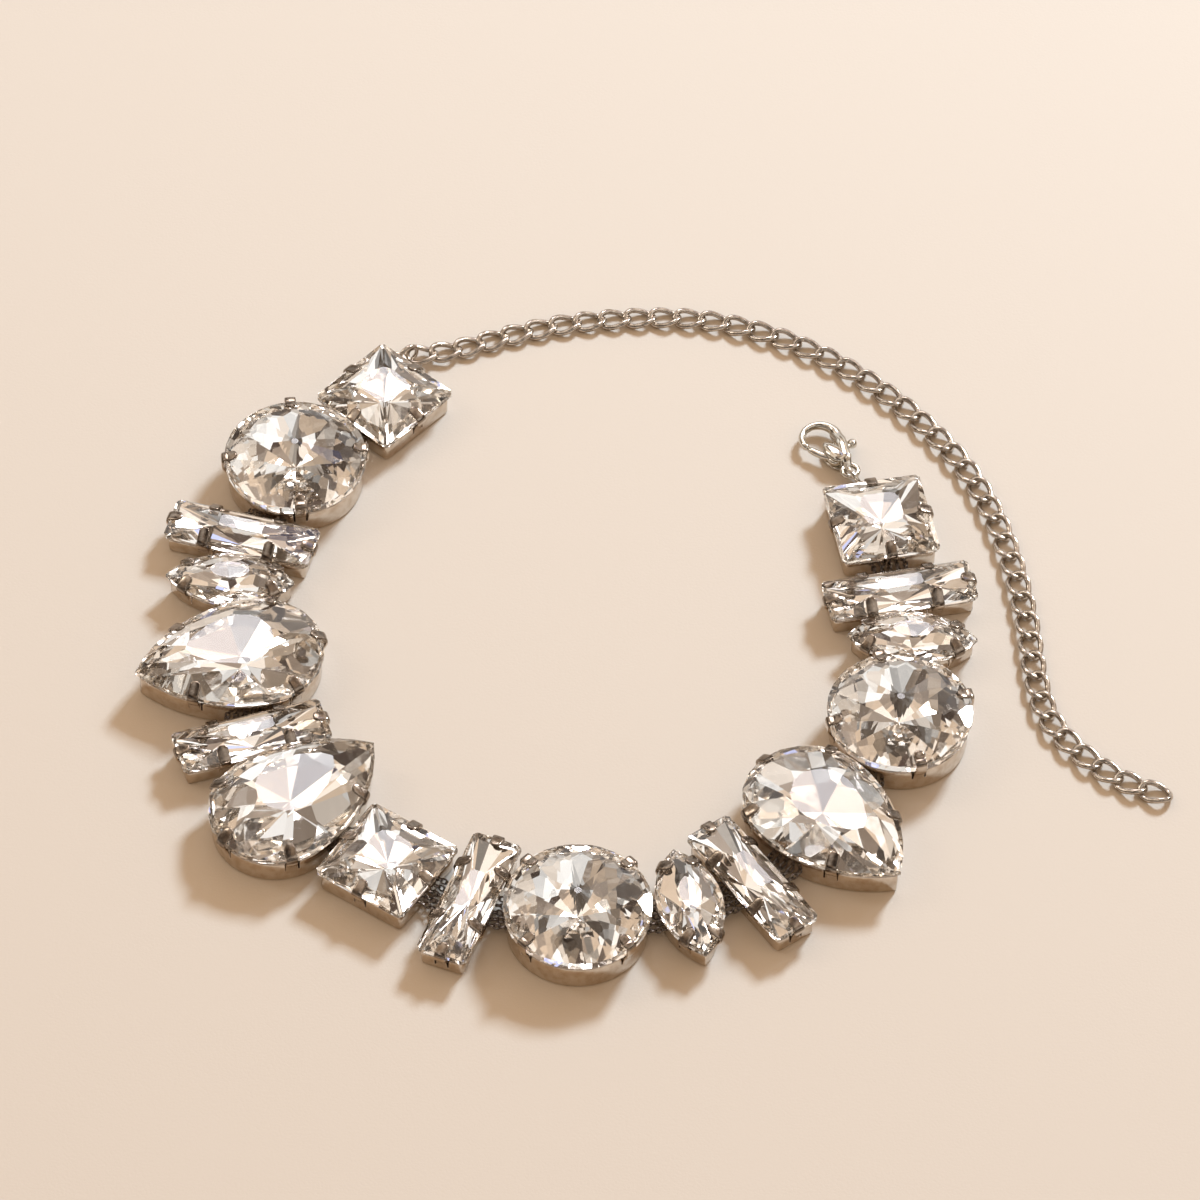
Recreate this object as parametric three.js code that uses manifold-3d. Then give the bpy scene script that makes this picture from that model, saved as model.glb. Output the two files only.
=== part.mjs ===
// Choker necklace of large foil-backed glass stones in claw settings, lying unfastened.
// Millimetres, +Z up. The stones follow one another along the necklace, each setting is joined to
// the next by a short run of fine chain, and a long curb chain and a lobster clasp end it.
import * as THREE from "three";
import { mergeVertices } from "three/addons/utils/BufferGeometryUtils.js";
import Module from "manifold-3d";

const wasm = await Module();
wasm.setup();

// Clearance between pieces that touch on the real necklace
const GAP = 0.3;

// How finely the stones are moved to their places along the row
const LAYOUT_STEP = 1e-6;

// Sheet-metal settings
const WALL = 0.6;
const FLOOR = 0.6;
const OVERHANG = 0.7;
const CLAW_WIDTH = 1.6;
const CLAW_SHEET = 0.45;
const CLAW_FOLD = 1.2;
const CLAW_ROOT = 0.9;

// Stone kinds: outline size, height of the girdle's lower edge above the surface, girdle band,
// crown height, the table's share of the outline, and the slope of the facets along the girdle
const STONES = {
  square: { length: 14, width: 14, girdle: 3.5, band: 0.6, crown: 2.1, table: 0.4, bevel: 31 },
  round: { length: 20, width: 20, girdle: 4.6, band: 1.6, crown: 2.5, table: 0.16, bevel: 30 },
  baguette: { length: 21, width: 7, girdle: 3.1, band: 0.6, crown: 1.9, table: 0.3, bevel: 41 },
  pear: { length: 26.4, width: 18.4, girdle: 4.2, band: 0.7, crown: 3, table: 0.42, bevel: 37 },
  navette: { length: 18, width: 9, girdle: 3.2, band: 0.6, crown: 1.9, table: 0.34, bevel: 38 },
};
const CROWN_MAINS = { square: 8, round: 16, baguette: 8, pear: 8, navette: 8 };
const ROUND_SIDES = 16;
const ARC_STEPS = 4;
const SEAT_SLOPE = 1;

// Where the claws stand, as shares of half the length and half the width
const CLAWS = {
  square: [[1, 0], [0, 1], [-1, 0], [0, -1]],
  round: [[0.7, 0.7], [-0.7, 0.7], [-0.7, -0.7], [0.7, -0.7]],
  baguette: [[1, 0], [0.45, 1], [-0.45, 1], [-1, 0], [-0.45, -1], [0.45, -1]],
  pear: [[0.4, 0.65], [-0.6, 0.9], [-1, 0], [-0.6, -0.9], [0.4, -0.65]],
  navette: [[0.55, 0.6], [-0.55, 0.6], [-0.55, -0.6], [0.55, -0.6]],
};

// The row of stones from the chain end to the clasp end: the direction to go from the stone
// before, the clear distance to it, and the stone's own turn, in degrees and millimetres
const ROW = [
  { kind: "square", heading: 0, gap: 0, turn: 49 },
  { kind: "round", heading: -132, gap: 1, turn: 11 },
  { kind: "baguette", heading: -118, gap: 0.8, turn: -14 },
  { kind: "navette", heading: -98, gap: 0.4, turn: -3 },
  { kind: "pear", heading: -87, gap: 0.4, turn: 195 },
  { kind: "baguette", heading: -74, gap: 0.6, turn: 19 },
  { kind: "pear", heading: -57, gap: 0.4, turn: 42 },
  { kind: "square", heading: -40, gap: 0.5, turn: 58 },
  { kind: "baguette", heading: -27, gap: 0.7, turn: 70 },
  { kind: "round", heading: -9, gap: 1, turn: 0 },
  { kind: "navette", heading: 9, gap: 0.7, turn: -75 },
  { kind: "baguette", heading: 28, gap: 0.9, turn: -54 },
  { kind: "pear", heading: 43, gap: 1.1, turn: -45 },
  { kind: "round", heading: 62, gap: 0.4, turn: 20 },
  { kind: "navette", heading: 82, gap: 0.4, turn: -1 },
  { kind: "baguette", heading: 101, gap: 0.5, turn: 13 },
  { kind: "square", heading: 101, gap: 2.4, turn: 12 },
];

// Fine chain between the settings: flat strands side by side
const STRAND_COUNT = 3;
const STRAND_WIDTH = 1.7;
const STRAND_THICK = 1.3;
const STRAND_SIDES = 6;
const STRAND_LAP = 1.15;
const STRAND_LIFT = 0.3;

// Wire loops soldered to the two end settings, and the jump rings in them
const LOOP_WIRE = 0.6;
const LOOP_HEIGHT = 1.9;
const RING_STEPS = 14;
const WIRE_SIDES = 6;
const CHAIN_RING = { wire: 0.6, mean: 3.2, lean: 0, heading: 40 };
const CLASP_RING = { wire: 0.7, mean: 4.3, lean: 25, heading: 120 };
const CHAIN_LOOP = { side: 0, shift: 4.5 };
const CLASP_LOOP = { side: 90, shift: 0.5 };

// Curb chain that the clasp fastens into: link length along the chain, width and wire
const LINK_PITCH = 3.6;
const LINK_WIDTH = 3.7;
const LINK_WIRE = 0.6;
const LINK_TWIST = 0.45;
const LINK_SINK = 0.14;
const LINK_STEPS = 10;
const LINK_SIDES = 5;
const RING_SLACK = 0.8;

// The curb chain's route from its first link, chosen by hand: X, Y and how far it is lifted
const CHAIN_ROUTE = [
  [0, 0, 0.8], [3.2, 0.9, 0.4], [6.8, 2.1, 0.1], [14.7, 5.3], [23, 7.8], [33, 9.2], [40.6, 9.3],
  [48.1, 7.9], [55.1, 5.2], [62.5, 0.8], [69, -4.7], [74.6, -10.8], [79.5, -17.7], [83, -25.2],
  [85.5, -33.3], [87.2, -41.8], [88.1, -48.5], [88.7, -55.6], [90.4, -63.8], [94.4, -69.5],
  [100.3, -74.4], [106.3, -76.9],
];

// Lobster clasp, lying flat, drawn with its eye at the origin and its nose along +X
const CLASP = {
  heading: 126, eyeOuter: 1.8, eyeHole: 1.1, eyeThick: 0.9, hookAt: 7.3, hookOuter: 3.1, hookInner: 2,
  hookThick: 1.4, hookTip: 104, hookRoot: -165, bodyAt: 3.5, bodyLength: 5, bodyWidth: 3.9, bodyThick: 2.8,
};
const CLASP_STEPS = 12;
const LEVER = {
  pivotX: 3, pivotY: 0.4, knuckle: 1.15, pin: 0.35, thick: 0.9, barWidth: 0.9, tabX: 4, tabY: -3.3,
  tabRadius: 0.75, armWidth: 0.8, swing: 25, swingSteps: 2,
};

// Finishes
const GLASS = { color: "#e9edf0", roughness: 0.05, metalness: 0 };
const PLATED = { color: "#c9c4bc", roughness: 0.22, metalness: 1 };
const CHAIN_PLATED = { color: "#b9aea2", roughness: 0.3, metalness: 1 };

const degrees = THREE.MathUtils.degToRad;
const inDegrees = THREE.MathUtils.radToDeg;
const necklace = new THREE.Group();

// Solids and meshes

function toSolid(geometry) {
  const bare = geometry.index ? geometry.toNonIndexed() : geometry.clone();
  bare.deleteAttribute("normal");
  bare.deleteAttribute("uv");
  const merged = mergeVertices(bare, 1e-5);
  return new wasm.Manifold(new wasm.Mesh({
    numProp: 3,
    vertProperties: new Float32Array(merged.attributes.position.array),
    triVerts: new Uint32Array(merged.index.array),
  }));
}

function toGeometry(solid) {
  const mesh = solid.getMesh();
  const geometry = new THREE.BufferGeometry();
  geometry.setAttribute("position", new THREE.BufferAttribute(new Float32Array(mesh.vertProperties), 3));
  geometry.setIndex(new THREE.BufferAttribute(new Uint32Array(mesh.triVerts), 1));
  geometry.computeVertexNormals();
  return geometry;
}

function addPiece(name, solid, finish, place = { x: 0, y: 0, turn: 0 }) {
  const mesh = new THREE.Mesh(toGeometry(solid), new THREE.MeshStandardMaterial(finish));
  mesh.name = name;
  mesh.position.set(place.x, place.y, 0);
  mesh.rotation.z = degrees(place.turn);
  necklace.add(mesh);
}

function prism(points, bottom, top) {
  const shape = new THREE.Shape(points.map(([x, y]) => new THREE.Vector2(x, y)));
  const geometry = new THREE.ExtrudeGeometry(shape, { depth: top - bottom, bevelEnabled: false });
  return toSolid(geometry.translate(0, 0, bottom));
}

function disc(x, y, radius, bottom, top, sides) {
  const points = [];
  for (let i = 0; i < sides; i += 1) {
    const angle = (2 * Math.PI * i) / sides;
    points.push([x + radius * Math.cos(angle), y + radius * Math.sin(angle)]);
  }
  return prism(points, bottom, top);
}

// A ring of round wire along a closed list of points about the origin
function wireRing(points, radius, sides) {
  const vertices = [];
  const faces = [];
  points.forEach((point, i) => {
    const next = (i + 1) % points.length;
    const tangent = points[next].clone().sub(points.at(i - 1)).normalize();
    const outward = point.clone().addScaledVector(tangent, -point.dot(tangent)).normalize();
    const upward = outward.clone().cross(tangent);
    for (let j = 0; j < sides; j += 1) {
      const angle = (2 * Math.PI * j) / sides;
      const corner = point.clone().addScaledVector(outward, radius * Math.cos(angle));
      vertices.push(...corner.addScaledVector(upward, radius * Math.sin(angle)).toArray());
      const k = (j + 1) % sides;
      faces.push(i * sides + j, next * sides + j, next * sides + k);
      faces.push(i * sides + j, next * sides + k, i * sides + k);
    }
  });
  const geometry = new THREE.BufferGeometry();
  geometry.setAttribute("position", new THREE.Float32BufferAttribute(vertices, 3));
  geometry.setIndex(faces);
  return geometry;
}

// Outlines in plan, anticlockwise, the stone's length along X

function outline(kind) {
  const { length, width } = STONES[kind];
  const half = length / 2;
  const points = [];
  if (kind === "square" || kind === "baguette") {
    return [[half, -width / 2], [half, width / 2], [-half, width / 2], [-half, -width / 2]];
  }
  if (kind === "round") {
    for (let i = 0; i < ROUND_SIDES; i += 1) {
      const angle = (2 * Math.PI * (i + 0.5)) / ROUND_SIDES;
      points.push([half * Math.cos(angle), half * Math.sin(angle)]);
    }
    return points;
  }
  // Side arcs that start square to the axis at the widest place and meet in a tip
  const radius = width / 2;
  const widest = kind === "pear" ? -half + radius : 0;
  const reach = half - widest;
  const arcRadius = (reach * reach + radius * radius) / (2 * radius);
  const sweep = Math.asin(reach / arcRadius);
  const side = [];
  for (let i = 0; i <= ARC_STEPS; i += 1) {
    const angle = (sweep * i) / ARC_STEPS;
    side.push([widest + arcRadius * Math.sin(angle), arcRadius * (Math.cos(angle) - 1) + radius]);
  }
  const upper = side.slice(0, -1).reverse();
  points.push([half, 0], ...upper);
  if (kind === "pear") {
    for (let i = 1; i < ARC_STEPS + 2; i += 1) {
      const angle = Math.PI / 2 + (Math.PI * i) / (ARC_STEPS + 2);
      points.push([widest + radius * Math.cos(angle), radius * Math.sin(angle)]);
    }
    points.push(...side.slice(0, -1).map(([x, y]) => [x, -y]));
    return points;
  }
  points.push(...side.slice(1, -1).map(([x, y]) => [-x, y]), [-half, 0]);
  points.push(...upper.map(([x, y]) => [-x, -y]), ...side.slice(1, -1).map(([x, y]) => [x, -y]));
  return points;
}

function edges(points) {
  return points.map((start, i) => {
    const end = points[(i + 1) % points.length];
    const size = Math.hypot(end[0] - start[0], end[1] - start[1]);
    return { start, end, size, normal: [(end[1] - start[1]) / size, (start[0] - end[0]) / size] };
  });
}

// The same outline moved inwards by one distance on every side
function inset(points, distance) {
  const rows = edges(points);
  return rows.map((edge, i) => {
    const before = rows.at(i - 1);
    const [ax, ay] = before.normal;
    const [bx, by] = edge.normal;
    const a = ax * edge.start[0] + ay * edge.start[1] - distance;
    const b = bx * edge.start[0] + by * edge.start[1] - distance;
    const cross = ax * by - ay * bx;
    return [(a * by - b * ay) / cross, (b * ax - a * bx) / cross];
  });
}

function placed(points, { x, y, turn }) {
  const cos = Math.cos(degrees(turn));
  const sin = Math.sin(degrees(turn));
  return points.map(([px, py]) => [x + px * cos - py * sin, y + px * sin + py * cos]);
}

function distanceToEdge([x, y], { start, end, size }) {
  const along = ((x - start[0]) * (end[0] - start[0]) + (y - start[1]) * (end[1] - start[1])) / size ** 2;
  const share = Math.min(Math.max(along, 0), 1);
  return Math.hypot(x - start[0] - share * (end[0] - start[0]), y - start[1] - share * (end[1] - start[1]));
}

// Clear distance between two outlines that don't meet, or zero where they do
function clearDistance(first, second) {
  const rows = [edges(first), edges(second)];
  const parted = rows.some((own, i) => own.some(({ start, normal }) => (
    [second, first][i].every(([x, y]) => (x - start[0]) * normal[0] + (y - start[1]) * normal[1] > 0)
  )));
  if (!parted) {
    return 0;
  }
  const corners = [...second.map((point) => [point, 0]), ...first.map((point) => [point, 1])];
  return Math.min(...corners.flatMap(([point, i]) => rows[i].map((edge) => distanceToEdge(point, edge))));
}

// The place of each stone: it slides away from the one before until the gap is as wide as asked
function layOut(rows) {
  const places = [{ x: 0, y: 0, turn: rows[0].turn }];
  for (const { kind, heading, gap, turn } of rows.slice(1)) {
    const last = places.at(-1);
    const fixed = placed(outline(rows[places.length - 1].kind), last);
    const at = (step) => ({
      x: last.x + step * Math.cos(degrees(heading)), y: last.y + step * Math.sin(degrees(heading)), turn,
    });
    let near = 0;
    let far = 2 * Math.max(...Object.values(STONES).map((size) => size.length + gap));
    while (far - near > LAYOUT_STEP) {
      const middle = (near + far) / 2;
      if (clearDistance(fixed, placed(outline(kind), at(middle))) < gap) {
        near = middle;
      } else {
        far = middle;
      }
    }
    places.push(at(far));
  }
  return places;
}

// Stones: a block of the outline's shape, cut by planes as a stone is ground

// Cuts away what lies outside a plane through a point of the outline at a height, sloping inwards
// at an angle in degrees; a negative angle cuts the underside
function grind(solid, [x, y], azimuth, height, angle) {
  const slope = degrees(Math.abs(angle));
  const up = angle > 0 ? 1 : -1;
  const normal = new THREE.Vector3(
    Math.cos(azimuth) * Math.sin(slope), Math.sin(azimuth) * Math.sin(slope), up * Math.cos(slope),
  );
  const offset = normal.dot(new THREE.Vector3(x, y, height));
  return solid.trimByPlane(normal.negate().toArray(), -offset);
}

// Slope of the underside, so steep that the lowest point is cut off a little by the cup's floor
function pavilionAngle(kind) {
  const { width, girdle } = STONES[kind];
  return inDegrees(Math.atan2(girdle - FLOOR - GAP, width / 2)) + SEAT_SLOPE;
}

function stone(kind) {
  const { length, width, girdle, band, crown, table, bevel } = STONES[kind];
  const top = girdle + band + crown;
  const shape = outline(kind);
  let solid = prism(shape, FLOOR + GAP, top);
  for (const { start, end, normal } of edges(shape)) {
    const middle = [(start[0] + end[0]) / 2, (start[1] + end[1]) / 2];
    const azimuth = Math.atan2(normal[1], normal[0]);
    solid = grind(solid, middle, azimuth, girdle + band, bevel);
    solid = grind(solid, middle, azimuth, girdle, -pavilionAngle(kind));
  }
  // Main crown facets, from the girdle up to the table's edge
  for (let i = 0; i < CROWN_MAINS[kind]; i += 1) {
    const angle = (2 * Math.PI * i) / CROWN_MAINS[kind];
    const azimuth = Math.atan2(length * Math.sin(angle), width * Math.cos(angle));
    const spans = shape.map(([x, y]) => x * Math.cos(azimuth) + y * Math.sin(azimuth));
    const reach = Math.max(...spans);
    const slope = inDegrees(Math.atan2(crown, reach * (1 - table)));
    solid = grind(solid, shape[spans.indexOf(reach)], azimuth, girdle + band, slope);
  }
  return solid;
}

// Settings: a low sheet-metal cup with claws folded up round the girdle and over the crown

// Top of the cup's wall, just clear of the stone's underside
function seatHeight(kind) {
  const angle = degrees(pavilionAngle(kind));
  return STONES[kind].girdle - (OVERHANG + WALL) * Math.tan(angle) - GAP / Math.cos(angle);
}

// The point of the girdle nearest to a claw's chosen spot, and the turn that faces outwards there
function clawFoot(kind, [shareX, shareY]) {
  const { length, width } = STONES[kind];
  const spot = [(shareX * length) / 2, (shareY * width) / 2];
  const nearest = edges(outline(kind)).reduce((best, edge) => (
    distanceToEdge(spot, edge) < distanceToEdge(spot, best) ? edge : best
  ));
  const [nx, ny] = nearest.normal;
  const depth = (nearest.start[0] - spot[0]) * nx + (nearest.start[1] - spot[1]) * ny;
  const turn = inDegrees(Math.atan2(ny, nx));
  return { x: spot[0] + depth * nx, y: spot[1] + depth * ny, turn };
}

// What a claw covers in plan outside the girdle
function clawPlan(kind, spot) {
  const half = CLAW_WIDTH / 2;
  const out = GAP + CLAW_SHEET;
  return placed([[0, -half], [out, -half], [out, half], [0, half]], clawFoot(kind, spot));
}

function claw(kind, spot) {
  const { girdle, band, bevel } = STONES[kind];
  const foot = clawFoot(kind, spot);
  const edge = girdle + band;
  const fold = edge + CLAW_FOLD * Math.tan(degrees(bevel)) + GAP / Math.cos(degrees(bevel));
  const root = seatHeight(kind) - CLAW_ROOT;
  const inner = -OVERHANG - WALL / 2;
  const outer = GAP + CLAW_SHEET;
  const profile = [
    [inner, root], [inner, root + CLAW_SHEET], [GAP, girdle - GAP], [GAP, edge + GAP / 2],
    [-CLAW_FOLD, fold], [-CLAW_FOLD, fold + CLAW_SHEET], [outer, edge + GAP],
    [outer, girdle - GAP - CLAW_SHEET / 2], [-OVERHANG + CLAW_SHEET / 2, root],
  ];
  const shape = new THREE.Shape(profile.map(([out, up]) => new THREE.Vector2(out, up)));
  const geometry = new THREE.ExtrudeGeometry(shape, { depth: CLAW_WIDTH, bevelEnabled: false });
  geometry.translate(0, 0, -CLAW_WIDTH / 2);
  geometry.rotateX(Math.PI / 2);
  geometry.rotateZ(degrees(foot.turn));
  return toSolid(geometry.translate(foot.x, foot.y, 0));
}

function setting(kind, spots) {
  const shape = outline(kind);
  const cup = prism(inset(shape, OVERHANG), 0, seatHeight(kind));
  const hollow = prism(inset(shape, OVERHANG + WALL), FLOOR, STONES[kind].girdle);
  return spots.reduce((solid, spot) => solid.add(claw(kind, spot)), cup.subtract(hollow));
}

// The claws of each setting: a claw stands only where it is clear of the neighbouring pieces
function chooseClaws(rows, places, endRings) {
  const chosen = [];
  const planOf = (i, spot) => placed(clawPlan(rows[i].kind, spot), places[i]);
  rows.forEach(({ kind }, i) => {
    const near = [i - 1, i + 1].filter((j) => j >= 0 && j < rows.length);
    const around = near.map((j) => placed(outline(rows[j].kind), places[j]));
    const before = i > 0 ? chosen[i - 1].map((spot) => planOf(i - 1, spot)) : [];
    const obstacles = [...around, ...before, ...endRings];
    chosen.push(CLAWS[kind].filter((spot) => (
      obstacles.every((obstacle) => clearDistance(planOf(i, spot), obstacle) >= GAP)
    )));
  });
  return chosen;
}

// Wire loop that stands out level from the wall of an end setting, so far that the ring in it
// hangs clear of the stone's girdle
function loopReach(ring) {
  return OVERHANG + GAP + ring.wire + GAP + LOOP_WIRE / 2;
}

function wallLoop(kind, { side, shift }, ring) {
  const reach = loopReach(ring);
  const wall = STONES[kind].width / 2 - OVERHANG;
  const points = [];
  for (let i = 0; i < RING_STEPS; i += 1) {
    const angle = (2 * Math.PI * (i + 0.5)) / RING_STEPS;
    points.push(new THREE.Vector3(reach * Math.cos(angle), reach * Math.sin(angle), 0));
  }
  const geometry = wireRing(points, LOOP_WIRE / 2, WIRE_SIDES).translate(wall, shift, LOOP_HEIGHT);
  geometry.rotateZ(degrees(side));
  const hollow = inset(outline(kind), OVERHANG + WALL / 2);
  return toSolid(geometry).subtract(prism(hollow, 0, STONES[kind].girdle));
}

// Point on the wall's face where a loop stands, in the necklace's own frame
function loopFoot(kind, { side, shift }, place) {
  const wall = STONES[kind].width / 2 - OVERHANG;
  const [[x, y]] = placed([[wall, shift]], { x: 0, y: 0, turn: side + place.turn });
  return new THREE.Vector3(place.x + x, place.y + y, LOOP_HEIGHT);
}

// A jump ring standing on edge: its middle lies along the heading from the loop's foot
function jumpRing(foot, ring) {
  const radius = ring.mean / 2;
  const heading = degrees(ring.heading);
  const lean = degrees(ring.lean);
  const forward = new THREE.Vector3(Math.cos(heading), Math.sin(heading), 0);
  const upward = new THREE.Vector3(0, 0, 1).applyAxisAngle(forward, -lean);
  const middle = foot.clone().addScaledVector(forward, OVERHANG + GAP + ring.wire / 2 + radius);
  middle.z = radius * Math.cos(lean) + ring.wire / 2;
  const points = [];
  for (let i = 0; i < RING_STEPS; i += 1) {
    const angle = (2 * Math.PI * i) / RING_STEPS;
    const point = forward.clone().multiplyScalar(radius * Math.cos(angle));
    points.push(point.addScaledVector(upward, radius * Math.sin(angle)));
  }
  const geometry = wireRing(points, ring.wire / 2, WIRE_SIDES);
  const long = radius + ring.wire / 2;
  const wide = radius * Math.sin(lean) + ring.wire / 2;
  const corners = [[-long, -wide], [long, -wide], [long, wide], [-long, wide]];
  const plan = placed(corners, { x: middle.x, y: middle.y, turn: ring.heading });
  return { middle, forward, upward, radius, plan, solid: toSolid(geometry.translate(...middle)) };
}

// Fine chain between two neighbouring settings, as flat strands that end clear of both walls
function carrier(from, to, fromKind, toKind) {
  const length = Math.hypot(to.x - from.x, to.y - from.y);
  const section = [];
  for (let j = 0; j < STRAND_SIDES; j += 1) {
    const angle = (2 * Math.PI * (j + 0.5)) / STRAND_SIDES;
    const across = (STRAND_LAP * STRAND_WIDTH * Math.sin(angle)) / 2;
    section.push(new THREE.Vector2((STRAND_THICK * Math.cos(angle)) / 2, across));
  }
  const strands = [];
  for (let i = 0; i < STRAND_COUNT; i += 1) {
    const options = { depth: length, bevelEnabled: false };
    const geometry = new THREE.ExtrudeGeometry(new THREE.Shape(section), options);
    geometry.rotateY(Math.PI / 2);
    geometry.translate(0, (i - (STRAND_COUNT - 1) / 2) * STRAND_WIDTH, STRAND_LIFT + STRAND_THICK / 2);
    geometry.rotateZ(Math.atan2(to.y - from.y, to.x - from.x));
    strands.push(toSolid(geometry.translate(from.x, from.y, 0)));
  }
  const blocks = [[fromKind, from], [toKind, to]].map(([kind, place]) => (
    prism(placed(inset(outline(kind), OVERHANG - GAP), place), 0, STONES[kind].girdle)
  ));
  const run = strands.reduce((solid, strand) => solid.add(strand));
  return blocks.reduce((solid, block) => solid.subtract(block), run);
}

// Curb chain: each link is a flattened oval whose ends are twisted opposite ways
function curbLink(start, end) {
  const chord = end.clone().sub(start);
  const half = chord.length() / 2 + (LINK_WIRE - LINK_SINK) / 2;
  const across = (LINK_WIDTH - LINK_WIRE) / 2;
  const points = [];
  for (let i = 0; i < LINK_STEPS; i += 1) {
    const angle = (2 * Math.PI * i) / LINK_STEPS;
    const lift = -LINK_TWIST * Math.sin(2 * angle);
    points.push(new THREE.Vector3(half * Math.cos(angle), across * Math.sin(angle), lift));
  }
  const geometry = wireRing(points, LINK_WIRE / 2, LINK_SIDES);
  geometry.rotateY(-Math.atan2(chord.z, Math.hypot(chord.x, chord.y)));
  geometry.rotateZ(Math.atan2(chord.y, chord.x));
  return toSolid(geometry.translate(...start.clone().add(end).multiplyScalar(0.5)));
}

function curbChain(start) {
  const level = LINK_TWIST + LINK_WIRE / 2;
  const points = CHAIN_ROUTE.map(([x, y, rise = 0]) => (
    new THREE.Vector3(start.x + x, start.y + y, level + rise)
  ));
  const curve = new THREE.CatmullRomCurve3(points, false, "centripetal");
  const joints = curve.getSpacedPoints(Math.round(curve.getLength() / LINK_PITCH));
  const links = joints.slice(1).map((joint, i) => curbLink(joints[i], joint));
  return links.reduce((chain, link) => chain.add(link));
}

// Lobster clasp, drawn flat at the height of its middle

function slab(points, thick) {
  return prism(points, -thick / 2, thick / 2);
}

function bar([fromX, fromY], [toX, toY], width, thick) {
  const length = Math.hypot(toX - fromX, toY - fromY);
  const turn = inDegrees(Math.atan2(toY - fromY, toX - fromX));
  const points = [[0, -width / 2], [length, -width / 2], [length, width / 2], [0, width / 2]];
  return slab(placed(points, { x: fromX, y: fromY, turn }), thick);
}

function hookTipPoint() {
  const middle = (CLASP.hookOuter + CLASP.hookInner) / 2;
  const angle = degrees(CLASP.hookTip);
  return [CLASP.hookAt + middle * Math.cos(angle), middle * Math.sin(angle)];
}

// The lever's body, grown on every side by a clearance to cut its slot
function leverForm(grown) {
  const { pivotX, pivotY, knuckle, thick, barWidth, tabX, tabY, tabRadius, armWidth } = LEVER;
  const height = thick + 2 * grown;
  const pivot = [pivotX, pivotY];
  const tip = hookTipPoint();
  const reach = Math.hypot(tip[0] - pivotX, tip[1] - pivotY);
  const end = tip.map((value, i) => value + ((value - pivot[i]) * grown) / reach);
  return disc(pivotX, pivotY, knuckle + grown, -height / 2, height / 2, CLASP_STEPS)
    .add(bar(pivot, end, barWidth + 2 * grown, height))
    .add(bar(pivot, [tabX, tabY], armWidth + 2 * grown, height))
    .add(disc(tabX, tabY, tabRadius + grown, -height / 2, height / 2, CLASP_STEPS));
}

function lever() {
  const { pivotX, pivotY, pin, thick } = LEVER;
  return leverForm(0).subtract(disc(pivotX, pivotY, pin + GAP, -thick, thick, CLASP_STEPS));
}

function claspBody() {
  const { eyeOuter, eyeHole, eyeThick, hookAt, hookOuter, hookInner, hookThick, hookTip, hookRoot } = CLASP;
  const { bodyAt, bodyLength, bodyWidth, bodyThick } = CLASP;
  const outer = [];
  const inner = [];
  for (let i = 0; i <= CLASP_STEPS; i += 1) {
    const angle = degrees(hookRoot + ((hookTip - hookRoot) * i) / CLASP_STEPS);
    outer.push([hookAt + hookOuter * Math.cos(angle), hookOuter * Math.sin(angle)]);
    inner.push([hookAt + hookInner * Math.cos(angle), hookInner * Math.sin(angle)]);
  }
  const belly = [];
  for (let i = 0; i < CLASP_STEPS; i += 1) {
    const angle = (2 * Math.PI * i) / CLASP_STEPS;
    belly.push([bodyAt + (bodyLength / 2) * Math.cos(angle), (bodyWidth / 2) * Math.sin(angle)]);
  }
  let solid = slab([...outer, ...inner.reverse()], hookThick)
    .add(slab(belly, bodyThick))
    .add(disc(0, 0, eyeOuter, -eyeThick / 2, eyeThick / 2, CLASP_STEPS))
    .subtract(disc(0, 0, eyeHole, -eyeThick, eyeThick, CLASP_STEPS));
  // The slot is the space that the lever sweeps as it opens
  for (let i = 0; i <= LEVER.swingSteps; i += 1) {
    const swept = leverForm(GAP).translate([-LEVER.pivotX, -LEVER.pivotY, 0])
      .rotate([0, 0, (-LEVER.swing * i) / LEVER.swingSteps]).translate([LEVER.pivotX, LEVER.pivotY, 0]);
    solid = solid.subtract(swept);
  }
  const pinHeight = bodyThick / 2 - GAP / 2;
  return solid.add(disc(LEVER.pivotX, LEVER.pivotY, LEVER.pin, -pinHeight, pinHeight, CLASP_STEPS));
}

// The necklace, from the chain end to the clasp end

const places = layOut(ROW);
const end = ROW.length - 1;
const chainRing = jumpRing(loopFoot(ROW[0].kind, CHAIN_LOOP, places[0]), CHAIN_RING);
const claspRing = jumpRing(loopFoot(ROW[end].kind, CLASP_LOOP, places[end]), CLASP_RING);
const claws = chooseClaws(ROW, places, [chainRing.plan, claspRing.plan]);

ROW.forEach(({ kind }, i) => {
  const label = `${String(i + 1).padStart(2, "0")}_${kind}`;
  let metal = setting(kind, claws[i]);
  if (i === 0) {
    metal = metal.add(wallLoop(kind, CHAIN_LOOP, CHAIN_RING));
  }
  if (i === end) {
    metal = metal.add(wallLoop(kind, CLASP_LOOP, CLASP_RING));
  }
  addPiece(`setting_${label}`, metal, PLATED, places[i]);
  addPiece(`stone_${label}`, stone(kind), GLASS, places[i]);
  if (i > 0) {
    const strands = carrier(places[i - 1], places[i], ROW[i - 1].kind, kind);
    addPiece(`fine_chain_${String(i).padStart(2, "0")}`, strands, CHAIN_PLATED);
  }
});

addPiece("chain_jump_ring", chainRing.solid, CHAIN_PLATED);
const slack = chainRing.radius - CHAIN_RING.wire / 2 - GAP - LINK_WIRE / 2;
const hang = RING_SLACK * slack - LINK_WIRE / 2;
const chainStart = chainRing.middle.clone().addScaledVector(chainRing.forward, hang);
addPiece("curb_chain", curbChain(chainStart), CHAIN_PLATED);

addPiece("clasp_jump_ring", claspRing.solid, PLATED);

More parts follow.
